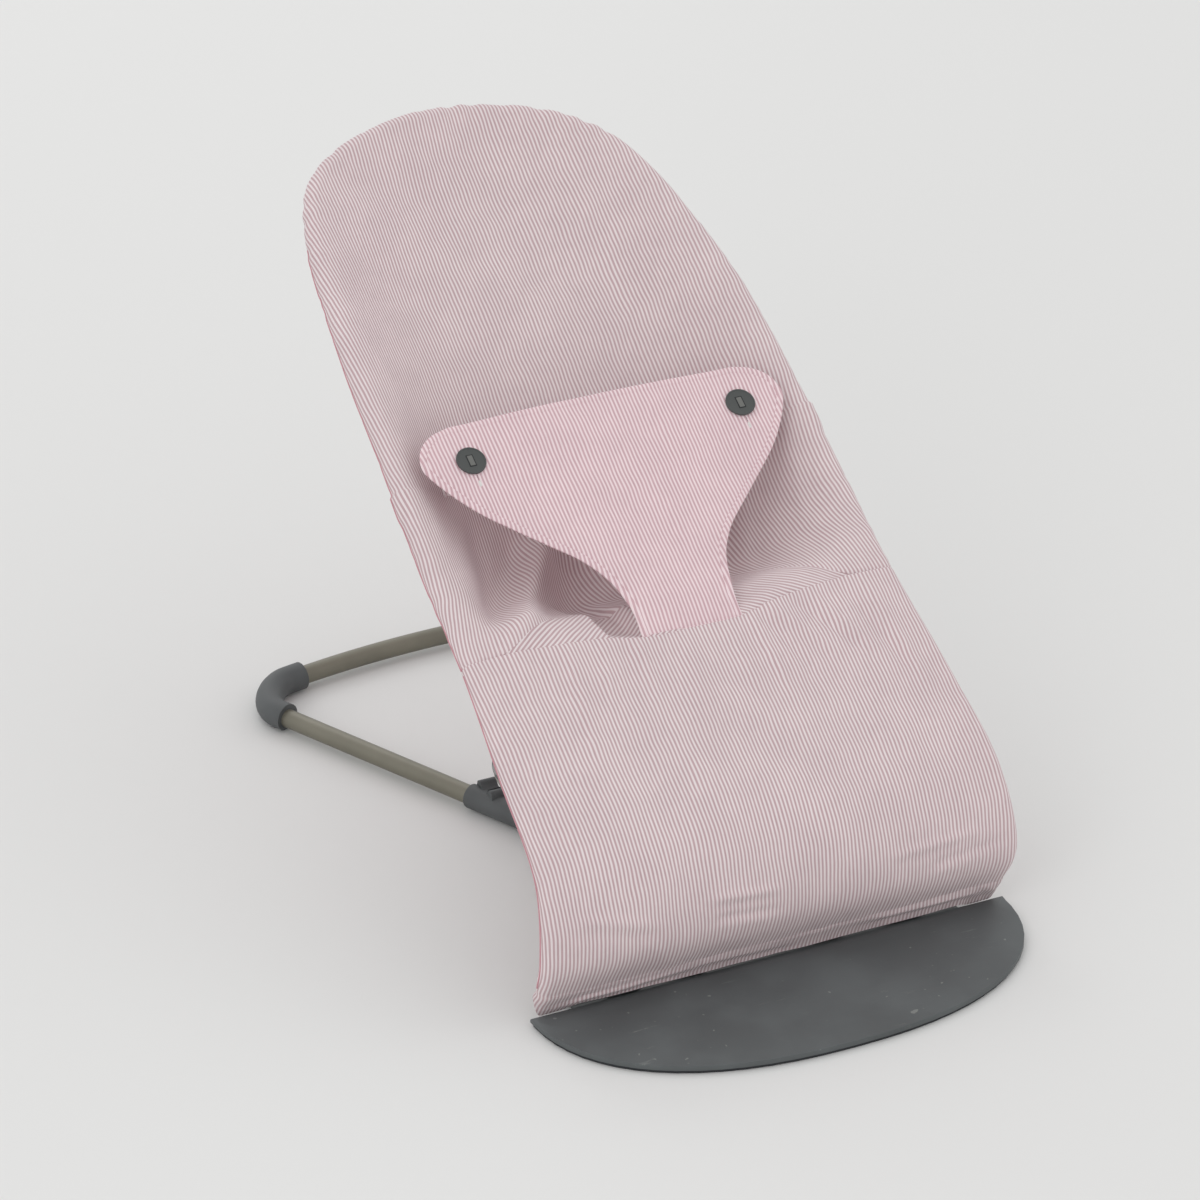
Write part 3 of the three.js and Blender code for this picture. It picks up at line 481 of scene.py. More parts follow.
paleFloor = plainFloor()
coverCotton = stripedCotton("coverCotton", toneOf(203, 174, 178), toneOf(238, 227, 228))
# the same striped cloth as the cover, painted lighter and pinker on the bib as painted light, since the
# bib lies out of the hollow's shade
litBibCotton = stripedCotton("litBibCotton", toneOf(216, 179, 186), toneOf(247, 228, 231))
coverThread = threadFinish("coverThread", toneOf(226, 204, 208))
seamThread = threadFinish("seamThread", toneOf(208, 150, 160))
whiteThread = threadFinish("whiteThread", toneOf(240, 236, 234))
slatePlastic = mouldedPlastic("slatePlastic", toneOf(87, 91, 92), 0.55, 0.5,
                              0.5, toneOf(150, 152, 148))
greyMoulding = mouldedPlastic("greyMoulding", toneOf(83, 86, 87), 0.4, 0.52)
buttonPlastic = mouldedPlastic("buttonPlastic", toneOf(78, 81, 80), 0.3, 0.5)
barPlastic = mouldedPlastic("barPlastic", toneOf(112, 113, 110), 0.3, 0.5)
darkRubber = mouldedPlastic("darkRubber", toneOf(48, 50, 53), 0.9, 0.72)
# dark rubber for the rear foot pads, and painted shade: the dark box in each button's slot and the dark
# marks along each buttonhole's slit
rubberAndPaintedShade = mouldedPlastic("rubberAndPaintedShade", toneOf(40, 42, 44), 0.9, 0.8)
taupePaint = paintedTube("taupePaint", toneOf(128, 125, 112))
steelFinish = paintedTube("steelFinish", toneOf(150, 150, 150), 0.85, 0.32)
placeCamera()
setStudio()
print("camera, studio and materials ready")

# the seat frame's centre line

seatShape = {
    "plateHalfWidth": 0.195,
    "hingeInset": 0.005,            # from the plate's straight edge to the hinge line
    "tubeRadius": 0.0055,
    "stationSteps": 60,
    "cornerStation": 3,
    "seamStation": 7,
    "headStation": 11,
    "stations": (                       # inside the plate's half width, y, height
        (0.035, 0.005, 0.0135), (0.025, 0.005, 0.0135), (0.015, 0.0025, 0.0175),
        (0.0105, -0.006, 0.032), (0.0075, -0.018, 0.061), (0.0125, -0.001, 0.116),
        (0.0175, 0.066, 0.165), (0.0245, 0.142, 0.214), (0.0265, 0.215, 0.261),
        (0.0305, 0.291, 0.315), (0.0355, 0.369, 0.364), (0.0555, 0.477, 0.417),
        (0.077, 0.522, 0.437), (0.117, 0.55, 0.4495), (0.195, 0.5665, 0.457)),
}

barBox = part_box("front_bar")
barY, barZ = (barBox[0].y + barBox[1].y) / 2, (barBox[0].z + barBox[1].z) / 2
plateBack = barY - seatShape["hingeInset"]      # the plate's straight edge


def seatLine():
    half = [Vector((inset - seatShape["plateHalfWidth"], y + plateBack, z))
            for inset, y, z in seatShape["stations"]]
    other = [Vector((-p.x, p.y, p.z)) for p in reversed(half[:-1])]
    return smoothLine(half + other, seatShape["stationSteps"])


loopPoints = seatLine()
loop = Line(loopPoints)
halfCount = len(loopPoints) // 2 + 1
side = Line([Vector((0, p.y, p.z)) for p in loopPoints[:halfCount]])
seamIndex = seatShape["seamStation"] * seatShape["stationSteps"]
seamDistance = loop.lengths[seamIndex]
seamSide = side.lengths[seamIndex]
headSide = side.lengths[seatShape["headStation"] * seatShape["stationSteps"]]
cornerSide = side.lengths[seatShape["cornerStation"] * seatShape["stationSteps"]]
cornerHeight = seatShape["stations"][seatShape["cornerStation"]][2]
halfWidths = [-p.x for p in loopPoints[:halfCount]]


def alongOf(distance):
    # place along the side profile, from the seam, for a distance along the loop's left half
    i = min(max(bisect.bisect_right(loop.lengths, distance) - 1, 0), halfCount - 2)
    run = max(loop.lengths[i + 1] - loop.lengths[i], 1e-9)
    return mix(side.lengths[i], side.lengths[i + 1], (distance - loop.lengths[i]) / run) - seamSide


def halfWidthAt(along):
    i = min(max(bisect.bisect_right(side.lengths, along + seamSide) - 1, 0), halfCount - 2)
    run = max(side.lengths[i + 1] - side.lengths[i], 1e-9)
    return mix(halfWidths[i], halfWidths[i + 1], (along + seamSide - side.lengths[i]) / run)


def directionsAt(along):
    # up the seat, and out of the plane of the frame
    forward = side.direction(min(max(along + seamSide, 0.002), headSide), 0.004)
    return forward, Vector((0, -forward.z, forward.y))


def seatPoint(x, along, lift):
    outward = directionsAt(along)[1]
    point = side.at(min(along + seamSide, side.length)) + outward * lift
    point.x = x
    return point


# tubes and moulded parts

def tubeAlong(name, points, radius, rings=7):
    curve = bpy.data.curves.new(name, "CURVE")
    curve.dimensions = "3D"
    spline = curve.splines.new("POLY")
    spline.points.add(len(points) - 1)
    for target, point in zip(spline.points, points):
        target.co = (*point, 1)
    curve.bevel_depth = radius
    curve.bevel_resolution = rings
    curve.use_fill_caps = True
    choose(addObject(name, curve))
    bpy.ops.object.convert(target="MESH")
    piece = bpy.context.object
    mergeDoubles(piece)
    smoothByAngle(piece, 40)
    return piece


def endFaces(piece, place, direction, reach):
    # selects the flat faces near a place that look along a direction
    choose(piece)
    bpy.ops.object.mode_set(mode="EDIT")
    bpy.ops.mesh.select_mode(type="FACE")
    bpy.ops.mesh.select_all(action="DESELECT")
    bm = bmesh.from_edit_mesh(piece.data)
    for face in bm.faces:
        near = (face.calc_center_median() - place).length < reach
        face.select = near and face.normal.dot(direction) > 0.9 and len(face.verts) > 8
    bm.select_flush_mode()
    bmesh.update_edit_mesh(piece.data)


def hollowEnd(piece, place, direction, wall, depth, reach=0.012):
    endFaces(piece, place, direction, reach)
    bpy.ops.mesh.inset(thickness=wall)
    bpy.ops.mesh.extrude_region_move(TRANSFORM_OT_translate={"value": tuple(-direction * depth)})
    bpy.ops.object.mode_set(mode="OBJECT")


def softenEdges(piece, width, degrees=30, segments=3):
    applyModifier(piece, "BEVEL", width=width, segments=segments, limit_method="ANGLE",
                  angle_limit=math.radians(degrees))
    smoothByAngle(piece, 32)


def softenedCopy(node, name, width, degrees=28):
    # a CAD node's shape with its doubles merged, flat faces joined and edges rounded
    piece = addObject(name, cadNodes[node].data.copy())
    mergeDoubles(piece, 0.00001)
    choose(piece)
    bpy.ops.object.mode_set(mode="EDIT")
    bpy.ops.mesh.select_all(action="SELECT")
    bpy.ops.mesh.dissolve_limited(angle_limit=math.radians(1.0))
    bpy.ops.object.mode_set(mode="OBJECT")
    softenEdges(piece, width, degrees, 2)
    return piece


def dressedTube(name, points, radius, body, node):
    dress(tubeAlong(name, points, radius), taupePaint, body, [node])


def dressedCopy(node, name, width, material, body, degrees=28):
    dress(softenedCopy(node, name, width, degrees), material, body, [node])


baseShape = {
    "tubeRadius": 0.0075,
    "tubeHeight": 0.011,
    "waist": 0.058,
    "waistEnd": 0.195,
    "spreadStart": 0.242,
    "slope": 0.426,
    "sideEnd": 0.492,
    "socketEnd": 0.0186,
    "rearHalf": 0.146,
    "rearLine": 0.5406,
    "rearBow": 0.0154,
    "capRadius": 0.0112,
    "capHeight": 0.0116,
    "capSweep": 0.018,
    "capFront": 0.009,
    "capRear": 0.013,
    "capWall": 0.0016,
    "capFloor": 0.002,              # the cap is flat below this level, where its foot pad sits
    "sleeveRadius": 0.00975,
    "sleeveMargins": (0.013, 0.014),
    "stops": (-12, 0, 11),          # recline angles at which the crossbar has a place
    "gap": 0.0003,                  # left between the ends of tubes that meet
    "foldRatio": -1.51573,          # the support's turn for each degree of recline
}


def spreadAt(y):
    start = (baseShape["spreadStart"] + baseShape["waistEnd"]) / 2
    return baseShape["waist"] + baseShape["slope"] * (y - start)


def sideTubeX(y):
    start, end = baseShape["waistEnd"], baseShape["spreadStart"]
    if y >= end:
        return spreadAt(y)
    share = max((y - start) / (end - start), 0)
    return mix(baseShape["waist"], spreadAt(end), share * share)


def sideTubePoints(way, low, high, steps):
    return [Vector((way * sideTubeX(y), y + plateBack, baseShape["tubeHeight"]))
            for y in (mix(low, high, k / steps) for k in range(steps + 1))]


def rearBarPoint(x, height=None):
    y = baseShape["rearLine"] + baseShape["rearBow"] * (1 - (x / baseShape["rearHalf"]) ** 2)
    return Vector((x, y + plateBack, height or baseShape["tubeHeight"]))


def bezier(a, b, c, d, steps):
    return [a * (1 - t) ** 3 + b * 3 * t * (1 - t) ** 2 + c * 3 * t * t * (1 - t) + d * t ** 3
            for t in (k / steps for k in range(steps + 1))]


def crossbarAt(degrees):
    # place of the crossbar at a recline angle, from the joints and the pieces' boxes
    joints = {joint["name"]: joint for joint in frame["joints"]}
    hinge = Vector(joints["recline"]["pos_m"])
    pivot = Vector(joints["support_fold"]["pos_m"])
    low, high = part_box("support_crossbar")
    turn = Matrix.Rotation(math.radians(degrees), 3, "X")
    fold = Matrix.Rotation(math.radians(degrees) * baseShape["foldRatio"], 3, "X")
    return turn @ (pivot + fold @ ((low + high) / 2 - pivot) - hinge) + hinge


def cornerCap(name, way):
    shape = baseShape
    level = shape["capHeight"]
    tubeEnd = Vector((way * spreadAt(shape["sideEnd"]), shape["sideEnd"] + plateBack, level))
    ahead = Vector((-way * shape["slope"], -1, 0)).normalized()
    front = tubeEnd + ahead * shape["capFront"]
    barEnd = rearBarPoint(way * shape["rearHalf"], level)
    rear = rearBarPoint(way * (shape["rearHalf"] - shape["capRear"]), level)
    inward = (rear - barEnd).normalized()
    line = [front, front.lerp(tubeEnd, 0.5)]
    line += bezier(tubeEnd, tubeEnd - ahead * shape["capSweep"], barEnd - inward * shape["capSweep"],
                   barEnd, 22)
    line += [barEnd.lerp(rear, 0.5), rear]
    cap = tubeAlong(name, line, shape["capRadius"], 9)
    hollowEnd(cap, front, ahead, shape["capWall"], 0.006)
    hollowEnd(cap, rear, inward, shape["capWall"], 0.006)
    for vertex in cap.data.vertices:
        vertex.co.z = max(vertex.co.z, shape["capFloor"])
    softenEdges(cap, 0.0009, 50)
    return cap


toothShape = {
    "base": 0.0165,
    "shoulder": 0.0205,
    "peak": 0.0252,
    "peakBase": 0.0213,
    "peakPlace": 0.0093,
    "peakHalf": 0.0036,
    "hollow": 0.0064,
    "reach": 0.0132,
    "half": 0.0066,
    "inward": 0.0054,               # of the side tube's middle
}


def saddle(x, stop):
    # two rounded peaks with a hollow for the grip between them
    shape = toothShape
    grip = crossbarAt(stop)
    reach, hollow, half = shape["reach"], shape["hollow"], shape["half"]
    outline = [(-reach, shape["base"]), (-reach, shape["shoulder"])]
    for k in range(13):
        angle = math.pi * (1 - k / 12)
        outline.append((-shape["peakPlace"] + shape["peakHalf"] * math.cos(angle),
                        shape["peakBase"] + (shape["peak"] - shape["peakBase"]) * math.sin(angle)))
    for k in range(1, 12):
        angle = math.pi * (1 + k / 12)
        outline.append((hollow * 0.95 * math.cos(angle), grip.z + hollow * math.sin(angle)))
    outline += [(-y, z) for y, z in reversed(outline[:15])]
    positions = [Vector((x + dx, grip.y + y, z)) for dx in (-half, half) for y, z in outline]
    count = len(outline)
    faces = [tuple(range(count)), tuple(reversed(range(count, 2 * count)))]
    faces += [(k, k + count, (k + 1) % count + count, (k + 1) % count) for k in range(count)]
    return positions, faces


def notchedSleeve(name, way):
    shape = baseShape
    front = crossbarAt(shape["stops"][2]).y - plateBack - shape["sleeveMargins"][0]
    rear = crossbarAt(shape["stops"][0]).y - plateBack + shape["sleeveMargins"][1]
    points = sideTubePoints(way, front, rear, 40)
    sleeve = tubeAlong(name, points, shape["sleeveRadius"], 9)
    hollowEnd(sleeve, points[-1], (points[-1] - points[-2]).normalized(), 0.0014, 0.005)
    hollowEnd(sleeve, points[0], (points[0] - points[1]).normalized(), 0.0014, 0.005)
    softenEdges(sleeve, 0.0007, 50)
    positions, faces = [], []
    for stop in shape["stops"]:
        y = crossbarAt(stop).y - plateBack
        block, blockFaces = saddle(way * (sideTubeX(y) - toothShape["inward"]), stop)
        faces += [tuple(i + len(positions) for i in face) for face in blockFaces]
        positions += block
    teeth = newPiece(name + "_teeth", positions, faces, smoothed=False)
    faceOutward(teeth)
    softenEdges(teeth, 0.0011, 40, 3)
    return sleeve, teeth


def makeBase():
    shape = baseShape
    dressedCopy("footplate", "foot_plate", 0.0008, slatePlastic, "base")
    dressedCopy("footplate_sole", "plate_sole", 0.0005, darkRubber, "base")
    for word, way in sides:
        points = sideTubePoints(way, shape["socketEnd"] + shape["gap"], shape["sideEnd"], 90)
        dressedTube(word + "_base_tube", points, shape["tubeRadius"], "base", word + "_side_tube")
        cap = cornerCap(word + "_elbow", way)
        dress(cap, greyMoulding, "base", [word + "_corner_cap"])
        sleeve, teeth = notchedSleeve(word + "_sleeve", way)
        dress(sleeve, greyMoulding, "base", [word + "_notched_sleeve"])
        dress(teeth, greyMoulding, "base")
        dressedCopy(word + "_hinge_clamp", word + "_bar_clamp", 0.0006,
                    greyMoulding, "base")
        dressedCopy(word + "_rear_foot", word + "_foot_pad", 0.0004, rubberAndPaintedShade, "base")
    reach = shape["rearHalf"] - 0.0005
    points = [rearBarPoint(reach * (k / 45 - 1)) for k in range(91)]
    dressedTube("rear_tube", points, shape["tubeRadius"], "base", "rear_bar")
    for i in range(1, 5):
        dressedCopy(f"clamp_screw_{i}", f"plate_screw_{i}", 0.0004, steelFinish, "base")
    print("base made")


def makeSeatTubes():
    radius, gap = seatShape["tubeRadius"], baseShape["gap"]
    half = seatShape["plateHalfWidth"] - seatShape["stations"][0][0] - gap
    points = [Vector((half * (k / 10 - 1), barY, barZ)) for k in range(21)]
    dressedTube("hinge_bar", points, radius, "seat", "front_bar")
    end = seamDistance - gap
    for word, way in sides:
        points = [loop.at(mix(0, end, k / 110)) for k in range(111)]
        points = [Vector((-way * p.x, p.y, p.z)) for p in points]
        dressedTube(word + "_leg_tube", points, radius, "seat", word + "_sprung_leg")
        dressedCopy(word + "_support_bracket", word + "_pivot_bracket", 0.0006,
                    greyMoulding, "seat")
        dressedCopy(word + "_pivot_pin", word + "_rivet", 0.0004, steelFinish, "seat")
    start = 2 * seamDistance - end
    points = [loop.at(mix(start, loop.length - start, k / 300)) for k in range(301)]
    dressedTube("head_tube", points, radius, "back", "head_loop")
    print("seat tubes made")


supportShape = {
    "bend": 0.014,
    "eyeReach": 0.022,              # straight part under the eye
    "eyeRadius": 0.007,
    "eyeWidth": 0.009,
    "eyeRim": 0.0037,
    "eyeDish": 0.002,
    "footHalf": 0.084,
}


def bent(points, bend):
    # the corners of a line rounded off
    line = [points[0]]
    for before, at, after in zip(points, points[1:], points[2:]):
        a, b = at + (before - at).normalized() * bend, at + (after - at).normalized() * bend
        line += [a * (1 - t) ** 2 + at * 2 * t * (1 - t) + b * t * t
                 for t in (k / 12 for k in range(13))]
    return line + [points[-1]]


def makeSupport():
    shape = supportShape
    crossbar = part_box("support_crossbar")
    radius = (crossbar[1].z - crossbar[0].z) / 2
    middle = (crossbar[0] + crossbar[1]) / 2
    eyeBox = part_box("left_pivot_pin")
    eye = (eyeBox[0] + eyeBox[1]) / 2
    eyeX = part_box("left_support_strut")[0].x + shape["eyeWidth"] / 2
    corner = Vector((-shape["footHalf"], middle.y, middle.z))
    top = Vector((eyeX, eye.y, eye.z))
    down = Vector((0, corner.y - top.y, corner.z - top.z)).normalized()
    slant = top + down * shape["eyeReach"]
    end = Vector((-crossbar[1].x - baseShape["gap"], middle.y, middle.z))
    line = bent([top + down * 0.005, slant, corner, end], shape["bend"])
    for word, way in sides:
        points = [Vector((-way * p.x, p.y, p.z)) for p in line]
        dressedTube(word + "_strut", points, radius, "support", word + "_support_strut")
        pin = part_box(word + "_pivot_pin")
        centre = Vector((-way * eyeX, (pin[0].y + pin[1].y) / 2, (pin[0].z + pin[1].z) / 2))
        eyeRing = startPiece(word + "_strut_eye", bpy.ops.mesh.primitive_cylinder_add, vertices=40,
                             radius=shape["eyeRadius"], depth=shape["eyeWidth"], location=centre,
                             rotation=(0, math.pi / 2, 0))
        for face in (-1, 1):
            place = centre + sideways * face * shape["eyeWidth"] / 2
            hollowEnd(eyeRing, place, sideways * face, shape["eyeRim"], shape["eyeDish"], 0.004)
        softenEdges(eyeRing, 0.0005, 40, 2)
        dress(eyeRing, taupePaint, "support")
        dressedCopy(word + "_foot_grip", word + "_rubber_grip", 0.0007,
                    darkRubber, "support", 40)
    points = [Vector((crossbar[0].x * (1 - k / 10), middle.y, middle.z)) for k in range(21)]
    dressedTube("stop_bar", points, radius, "support", "support_crossbar")
    print("support made")


makeBase()
makeSeatTubes()
makeSupport()

# the cover's shared shapes: x across the seat, along it from the seam, lift off the frame's plane

coverShape = {
    "wrap": 0.0078,                 # the cloth's outer face round the tube
    "thickness": 0.0011,
    "hemGap": 33,                   # degrees round the tube, where the hem ends short of a full turn
    "wallPower": 3.6,               # how far out the wall starts to rise
    "rimPower": 1.9,                # how flat it is again where it meets the tube
    "spineTop": 0.41,
    "depths": ((-0.015, -0.0135), (0, -0.0105), (0.018, -0.004), (0.03, 0.008), (0.045, 0.032),
               (0.066, 0.055), (0.11, 0.066), (0.2, 0.051), (0.3, 0.037), (0.4, 0.023), (0.5, 0.0)),
    "crescent": ((0, 0.029), (0.044, 0.0335), (0.057, 0.036), (0.074, 0.0352), (0.089, 0.0315),
                 (0.1075, 0.0235), (0.1285, 0.0130), (0.146, 0.005), (0.2, 0.0035)),
    "legTop": ((0, -0.0125), (0.04, -0.012), (0.079, -0.004), (0.12, 0.0005), (0.146, 0.003),
               (0.2, 0.0036)),
    "crescentFade": 0.09,
    "legBow": 0.0075,
    "skirtLow": 0.0098,             # height of the lower hem over the floor
    "skirtForward": 0.011,
    "skirtBehind": 0.012,           # how much higher the hem is behind the tube
    "skirtCorner": (0.156, 0.170, 0.0050, 0.0047),      # from, to, back, down
    "calmEdge": 0.03,               # how far from the tube the folds die out
    "seamGap": 0.0030,              # from the seam to the back part's first row
    "groove": (0.0006, 0.0009),     # depth and width of the sewn line there
}


def foldPaths(folds):
    # each fold: the places of its crest, half width, height; a ridge above nought and a valley below
    paths = []
    for places, width, height in folds:
        crest = Line(smoothLine([Vector((x, s, 0)) for x, s in places], 4 if len(places) > 2 else 1))
        paths.append((crest, width, height))
    return paths


def foldHeight(paths, x, along):
    total = 0.0
    for crest, width, height in paths:
        nearest = None
        for i in range(len(crest.points) - 1):
            start, end = crest.points[i], crest.points[i + 1]
            runX, runS = end.x - start.x, end.y - start.y
            length = crest.lengths[i + 1] - crest.lengths[i]
            share = ((x - start.x) * runX + (along - start.y) * runS) / (length * length)
            low = -9 if i == 0 else 0
            high = 9 if i == len(crest.points) - 2 else 1
            share = min(max(share, low), high)
            offX, offS = x - start.x - share * runX, along - start.y - share * runS
            away = math.hypot(offX, offS)
            if nearest is None or away < nearest[0]:
                way = 1 if offX * runS - offS * runX > 0 else -1
                nearest = (away, way, (crest.lengths[i] + share * length) / crest.length)
        away, way, share = nearest
        if share < -0.15 or share > 1.15 or away > 4 * width:
            continue
        ends = smooth(share, -0.15, 0.2) * (1 - smooth(share, 0.62, 1.15))
        q = way * away / width
        total += height * ends * (math.exp(-q * q) - 0.3 * math.exp(-((q - 1.9) ** 2)))
    return total


def rippled(height, x, along, ripples):
    # a height with broad and fine unevenness added; each ripple is its size, height and seed
    for size, high, seed in ripples:
        height += high * noise.noise(Vector((x / size, along / size, seed)))
    return height


def depthAt(along):
    return between(coverShape["depths"], along)


def crescentAt(x):
    return between(coverShape["crescent"], abs(x))


def legTopAt(x):
    return between(coverShape["legTop"], abs(x))


def wallRise(share):
    # 0 in the middle of the hollow, 1 on the tube
    return 1 - (1 - min(share, 1) ** coverShape["wallPower"]) ** coverShape["rimPower"]


def hollowLift(x, along):
    wrap = coverShape["wrap"]
    return wrap - (wrap + depthAt(along)) * (1 - wallRise(abs(x) / halfWidthAt(along)))


def sewnGroove(along):
    depth, width = coverShape["groove"]
    return depth * math.exp(-((along - coverShape["seamGap"]) / width) ** 2)


def calmed(relief, fromEdge):
    return relief * smooth(fromEdge, 0.0, coverShape["calmEdge"])


def legLift(x, along):
    low = cornerSide - seamSide
    share = min(max((along - low) / (-0.002 - low), 0), 1)
    bow = coverShape["legBow"] * math.sin(math.pi / 2 * share) + 0.001
    across = min(abs(x) / halfWidthAt(along), 1)
    return coverShape["wrap"] + bow * (1 - across * across)


def declareSheet(piece, grid):
    # width, length and area measured along the modelled cloth's own rows and columns
    rows, columns = len(grid), len(grid[0])
    width = max(sum((grid[r][c + 1] - grid[r][c]).length for c in range(columns - 1))
                for r in range(0, rows, 4))
    length = max(sum((grid[r + 1][c] - grid[r][c]).length for r in range(rows - 1))
                 for c in range(0, columns, 6))
    area = sum(((grid[r][c + 1] - grid[r][c]).cross(grid[r + 1][c] - grid[r][c])).length
               for r in range(rows - 1) for c in range(columns - 1))
    print(f"{piece.name}: {width:.3f} by {length:.3f} m, area {area:.4f}")
    return width, length, area


# the leg panel of the cover

legCoverShape = {
    "rows": 150,
    "skirtRows": 20,
    "acrossSteps": 150,
    "wrapSteps": 16,
    "wrapAngles": (255, 88),
    "hemHeight": 0.008,
    "ripples": ((0.05, 0.0011, 2.3), (0.017, 0.00035, 7.1)),
    "folds": (
        (((0.047, -0.014), (0.052, -0.085)), 0.0045, 0.0022),
        (((0.054, -0.010), (0.078, -0.075)), 0.0045, -0.0016),
        (((0.062, -0.006), (0.104, -0.062)), 0.0048, 0.0024),
        (((0.080, -0.004), (0.124, -0.060)), 0.0045, -0.0018),
        (((0.100, -0.004), (0.136, -0.070)), 0.0048, 0.0018),
        (((0.128, -0.002), (0.152, -0.085)), 0.005, -0.0018),
        (((0.150, -0.010), (0.162, -0.110)), 0.005, 0.0020),
        (((0.024, -0.020), (0.030, -0.080)), 0.006, 0.0012),
        (((-0.016, -0.020), (-0.014, -0.070)), 0.006, 0.0010),
        (((-0.046, -0.013), (-0.050, -0.070)), 0.0045, 0.0018),
        (((-0.056, -0.010), (-0.068, -0.060)), 0.0045, -0.0014),
        (((-0.072, -0.007), (-0.088, -0.065)), 0.0045, 0.0016),
        (((-0.098, -0.005), (-0.112, -0.095)), 0.0055, 0.0020),
        (((-0.125, -0.003), (-0.136, -0.080)), 0.005, -0.0012),
        (((-0.060, -0.212), (-0.006, -0.216)), 0.0032, 0.0016),
        (((-0.058, -0.226), (-0.004, -0.230)), 0.0030, -0.0012),
        (((0.090, -0.214), (0.165, -0.212)), 0.0036, 0.0013),
        (((0.120, -0.228), (0.182, -0.222)), 0.0036, -0.0012),
        (((-0.165, -0.205), (-0.100, -0.222)), 0.0045, 0.0014)),
    "skirtFolds": (
        (((-0.176, 0.0150), (-0.060, 0.0210)), 0.0032, 0.0030),
        (((-0.060, 0.0220), (0.020, 0.0180)), 0.0028, 0.0014),
        (((0.080, 0.0230), (0.182, 0.0215)), 0.0032, 0.0028),
        (((0.172, 0.0300), (0.190, 0.0140)), 0.0030, 0.0014)),
}


legFolds = foldPaths(legCoverShape["folds"])
skirtFolds = foldPaths(legCoverShape["skirtFolds"])


def legRelief(x, along):
    return rippled(foldHeight(legFolds, x, along), x, along, legCoverShape["ripples"])


def skirtPoint(x, y, skirt, behind, lift):
    # the hanging lower part, drawn in under the bend; skirt is 0 at its top and 1 at its hem
    lowest, hemTop = coverShape["skirtLow"], legCoverShape["hemHeight"]
    z = mix(cornerHeight, lowest + coverShape["skirtBehind"] * behind, skirt)
    level = (z - lowest) / (cornerHeight - lowest)
    forward = coverShape["skirtForward"] * level ** 1.15
    hem = 0.0003 * (1 - smooth(z - lowest, hemTop - 0.0025, hemTop + 0.0015))
    wave = 0.0009 * noise.noise(Vector((x / 0.03, z / 0.03, 1.7))) * (1 - level * 0.5)
    outward = lift + hem + wave + foldHeight(skirtFolds, x, z)
    inner, outer, back, down = coverShape["skirtCorner"]
    corner = smooth(abs(x), inner, outer) * (1 - level) * (1 - behind)
    flat = Vector((x, barY - outward - forward + back * corner, z - down * corner))
    blend = smooth(1 - skirt, 0.0, 1.0)
    return flat.lerp(Vector((x, y, z)), blend * blend)


def makeLegCover():
    shape = legCoverShape
    wrap = coverShape["wrap"]
    low = cornerSide - seamSide
    start, end = (math.radians(a) for a in shape["wrapAngles"])
    columns = [("left", mix(start, end, k / shape["wrapSteps"])) for k in range(shape["wrapSteps"])]
    columns += [("middle", mix(-1, 1, k / shape["acrossSteps"]))
                for k in range(shape["acrossSteps"] + 1)]
    columns += [("right", mix(end, start, (k + 1) / shape["wrapSteps"]))
                for k in range(shape["wrapSteps"])]
    grid, uvGrid = [], []
    for row in range(shape["skirtRows"] + shape["rows"] + 1):
        share = max(row - shape["skirtRows"], 0) / shape["rows"]
        skirt = 1 - min(row / shape["skirtRows"], 1)
        line, uvLine = [], []
        for kind, value in columns:
            top = legTopAt(value * 0.185 if kind == "middle" else 0.185)
            along = mix(low, top, share)
            half = halfWidthAt(along)
            if kind == "middle":
                x = value * half
                lift = legLift(x, along)
                u = x
            else:
                way = -1 if kind == "left" else 1
                x = way * (half - wrap * math.cos(value))
                lift = wrap * math.sin(value)
                u = way * (half + wrap * (value - math.pi / 2))
            relief = legRelief(x, along) * (1 if kind == "middle" else 0.4)
            seam = 0.00025 * math.exp(-((top - along) / 0.001) ** 2)
            if kind == "middle":
                lift -= seam
            else:
                x -= seam * way * -math.cos(value)
                lift -= seam * math.sin(value)
            point = seatPoint(x, along, lift + relief)
            if skirt > 0:
                behind = 0 if kind == "middle" else smooth(value, math.radians(100), math.radians(200))
                point = skirtPoint(x, point.y, skirt, behind, lift)
            line.append(point)
            uvLine.append((u, along - (cornerHeight - coverShape["skirtLow"]) * skirt))
        grid.append(line)
        uvGrid.append(uvLine)
    cover = gridPiece("leg_cover", grid, uvGrid)
    declared = declareSheet(cover, grid)
    thicken(cover, coverShape["thickness"])
    dress(cover, coverCotton, None, ["leg_panel"])
    tuple(seatPoint(0, -0.03, 0))
    tuple(seatPoint(0, -0.008, 0))
    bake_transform(cover)
    print("leg panel made")


# the hollow back of the cover, with its hem round the head tube

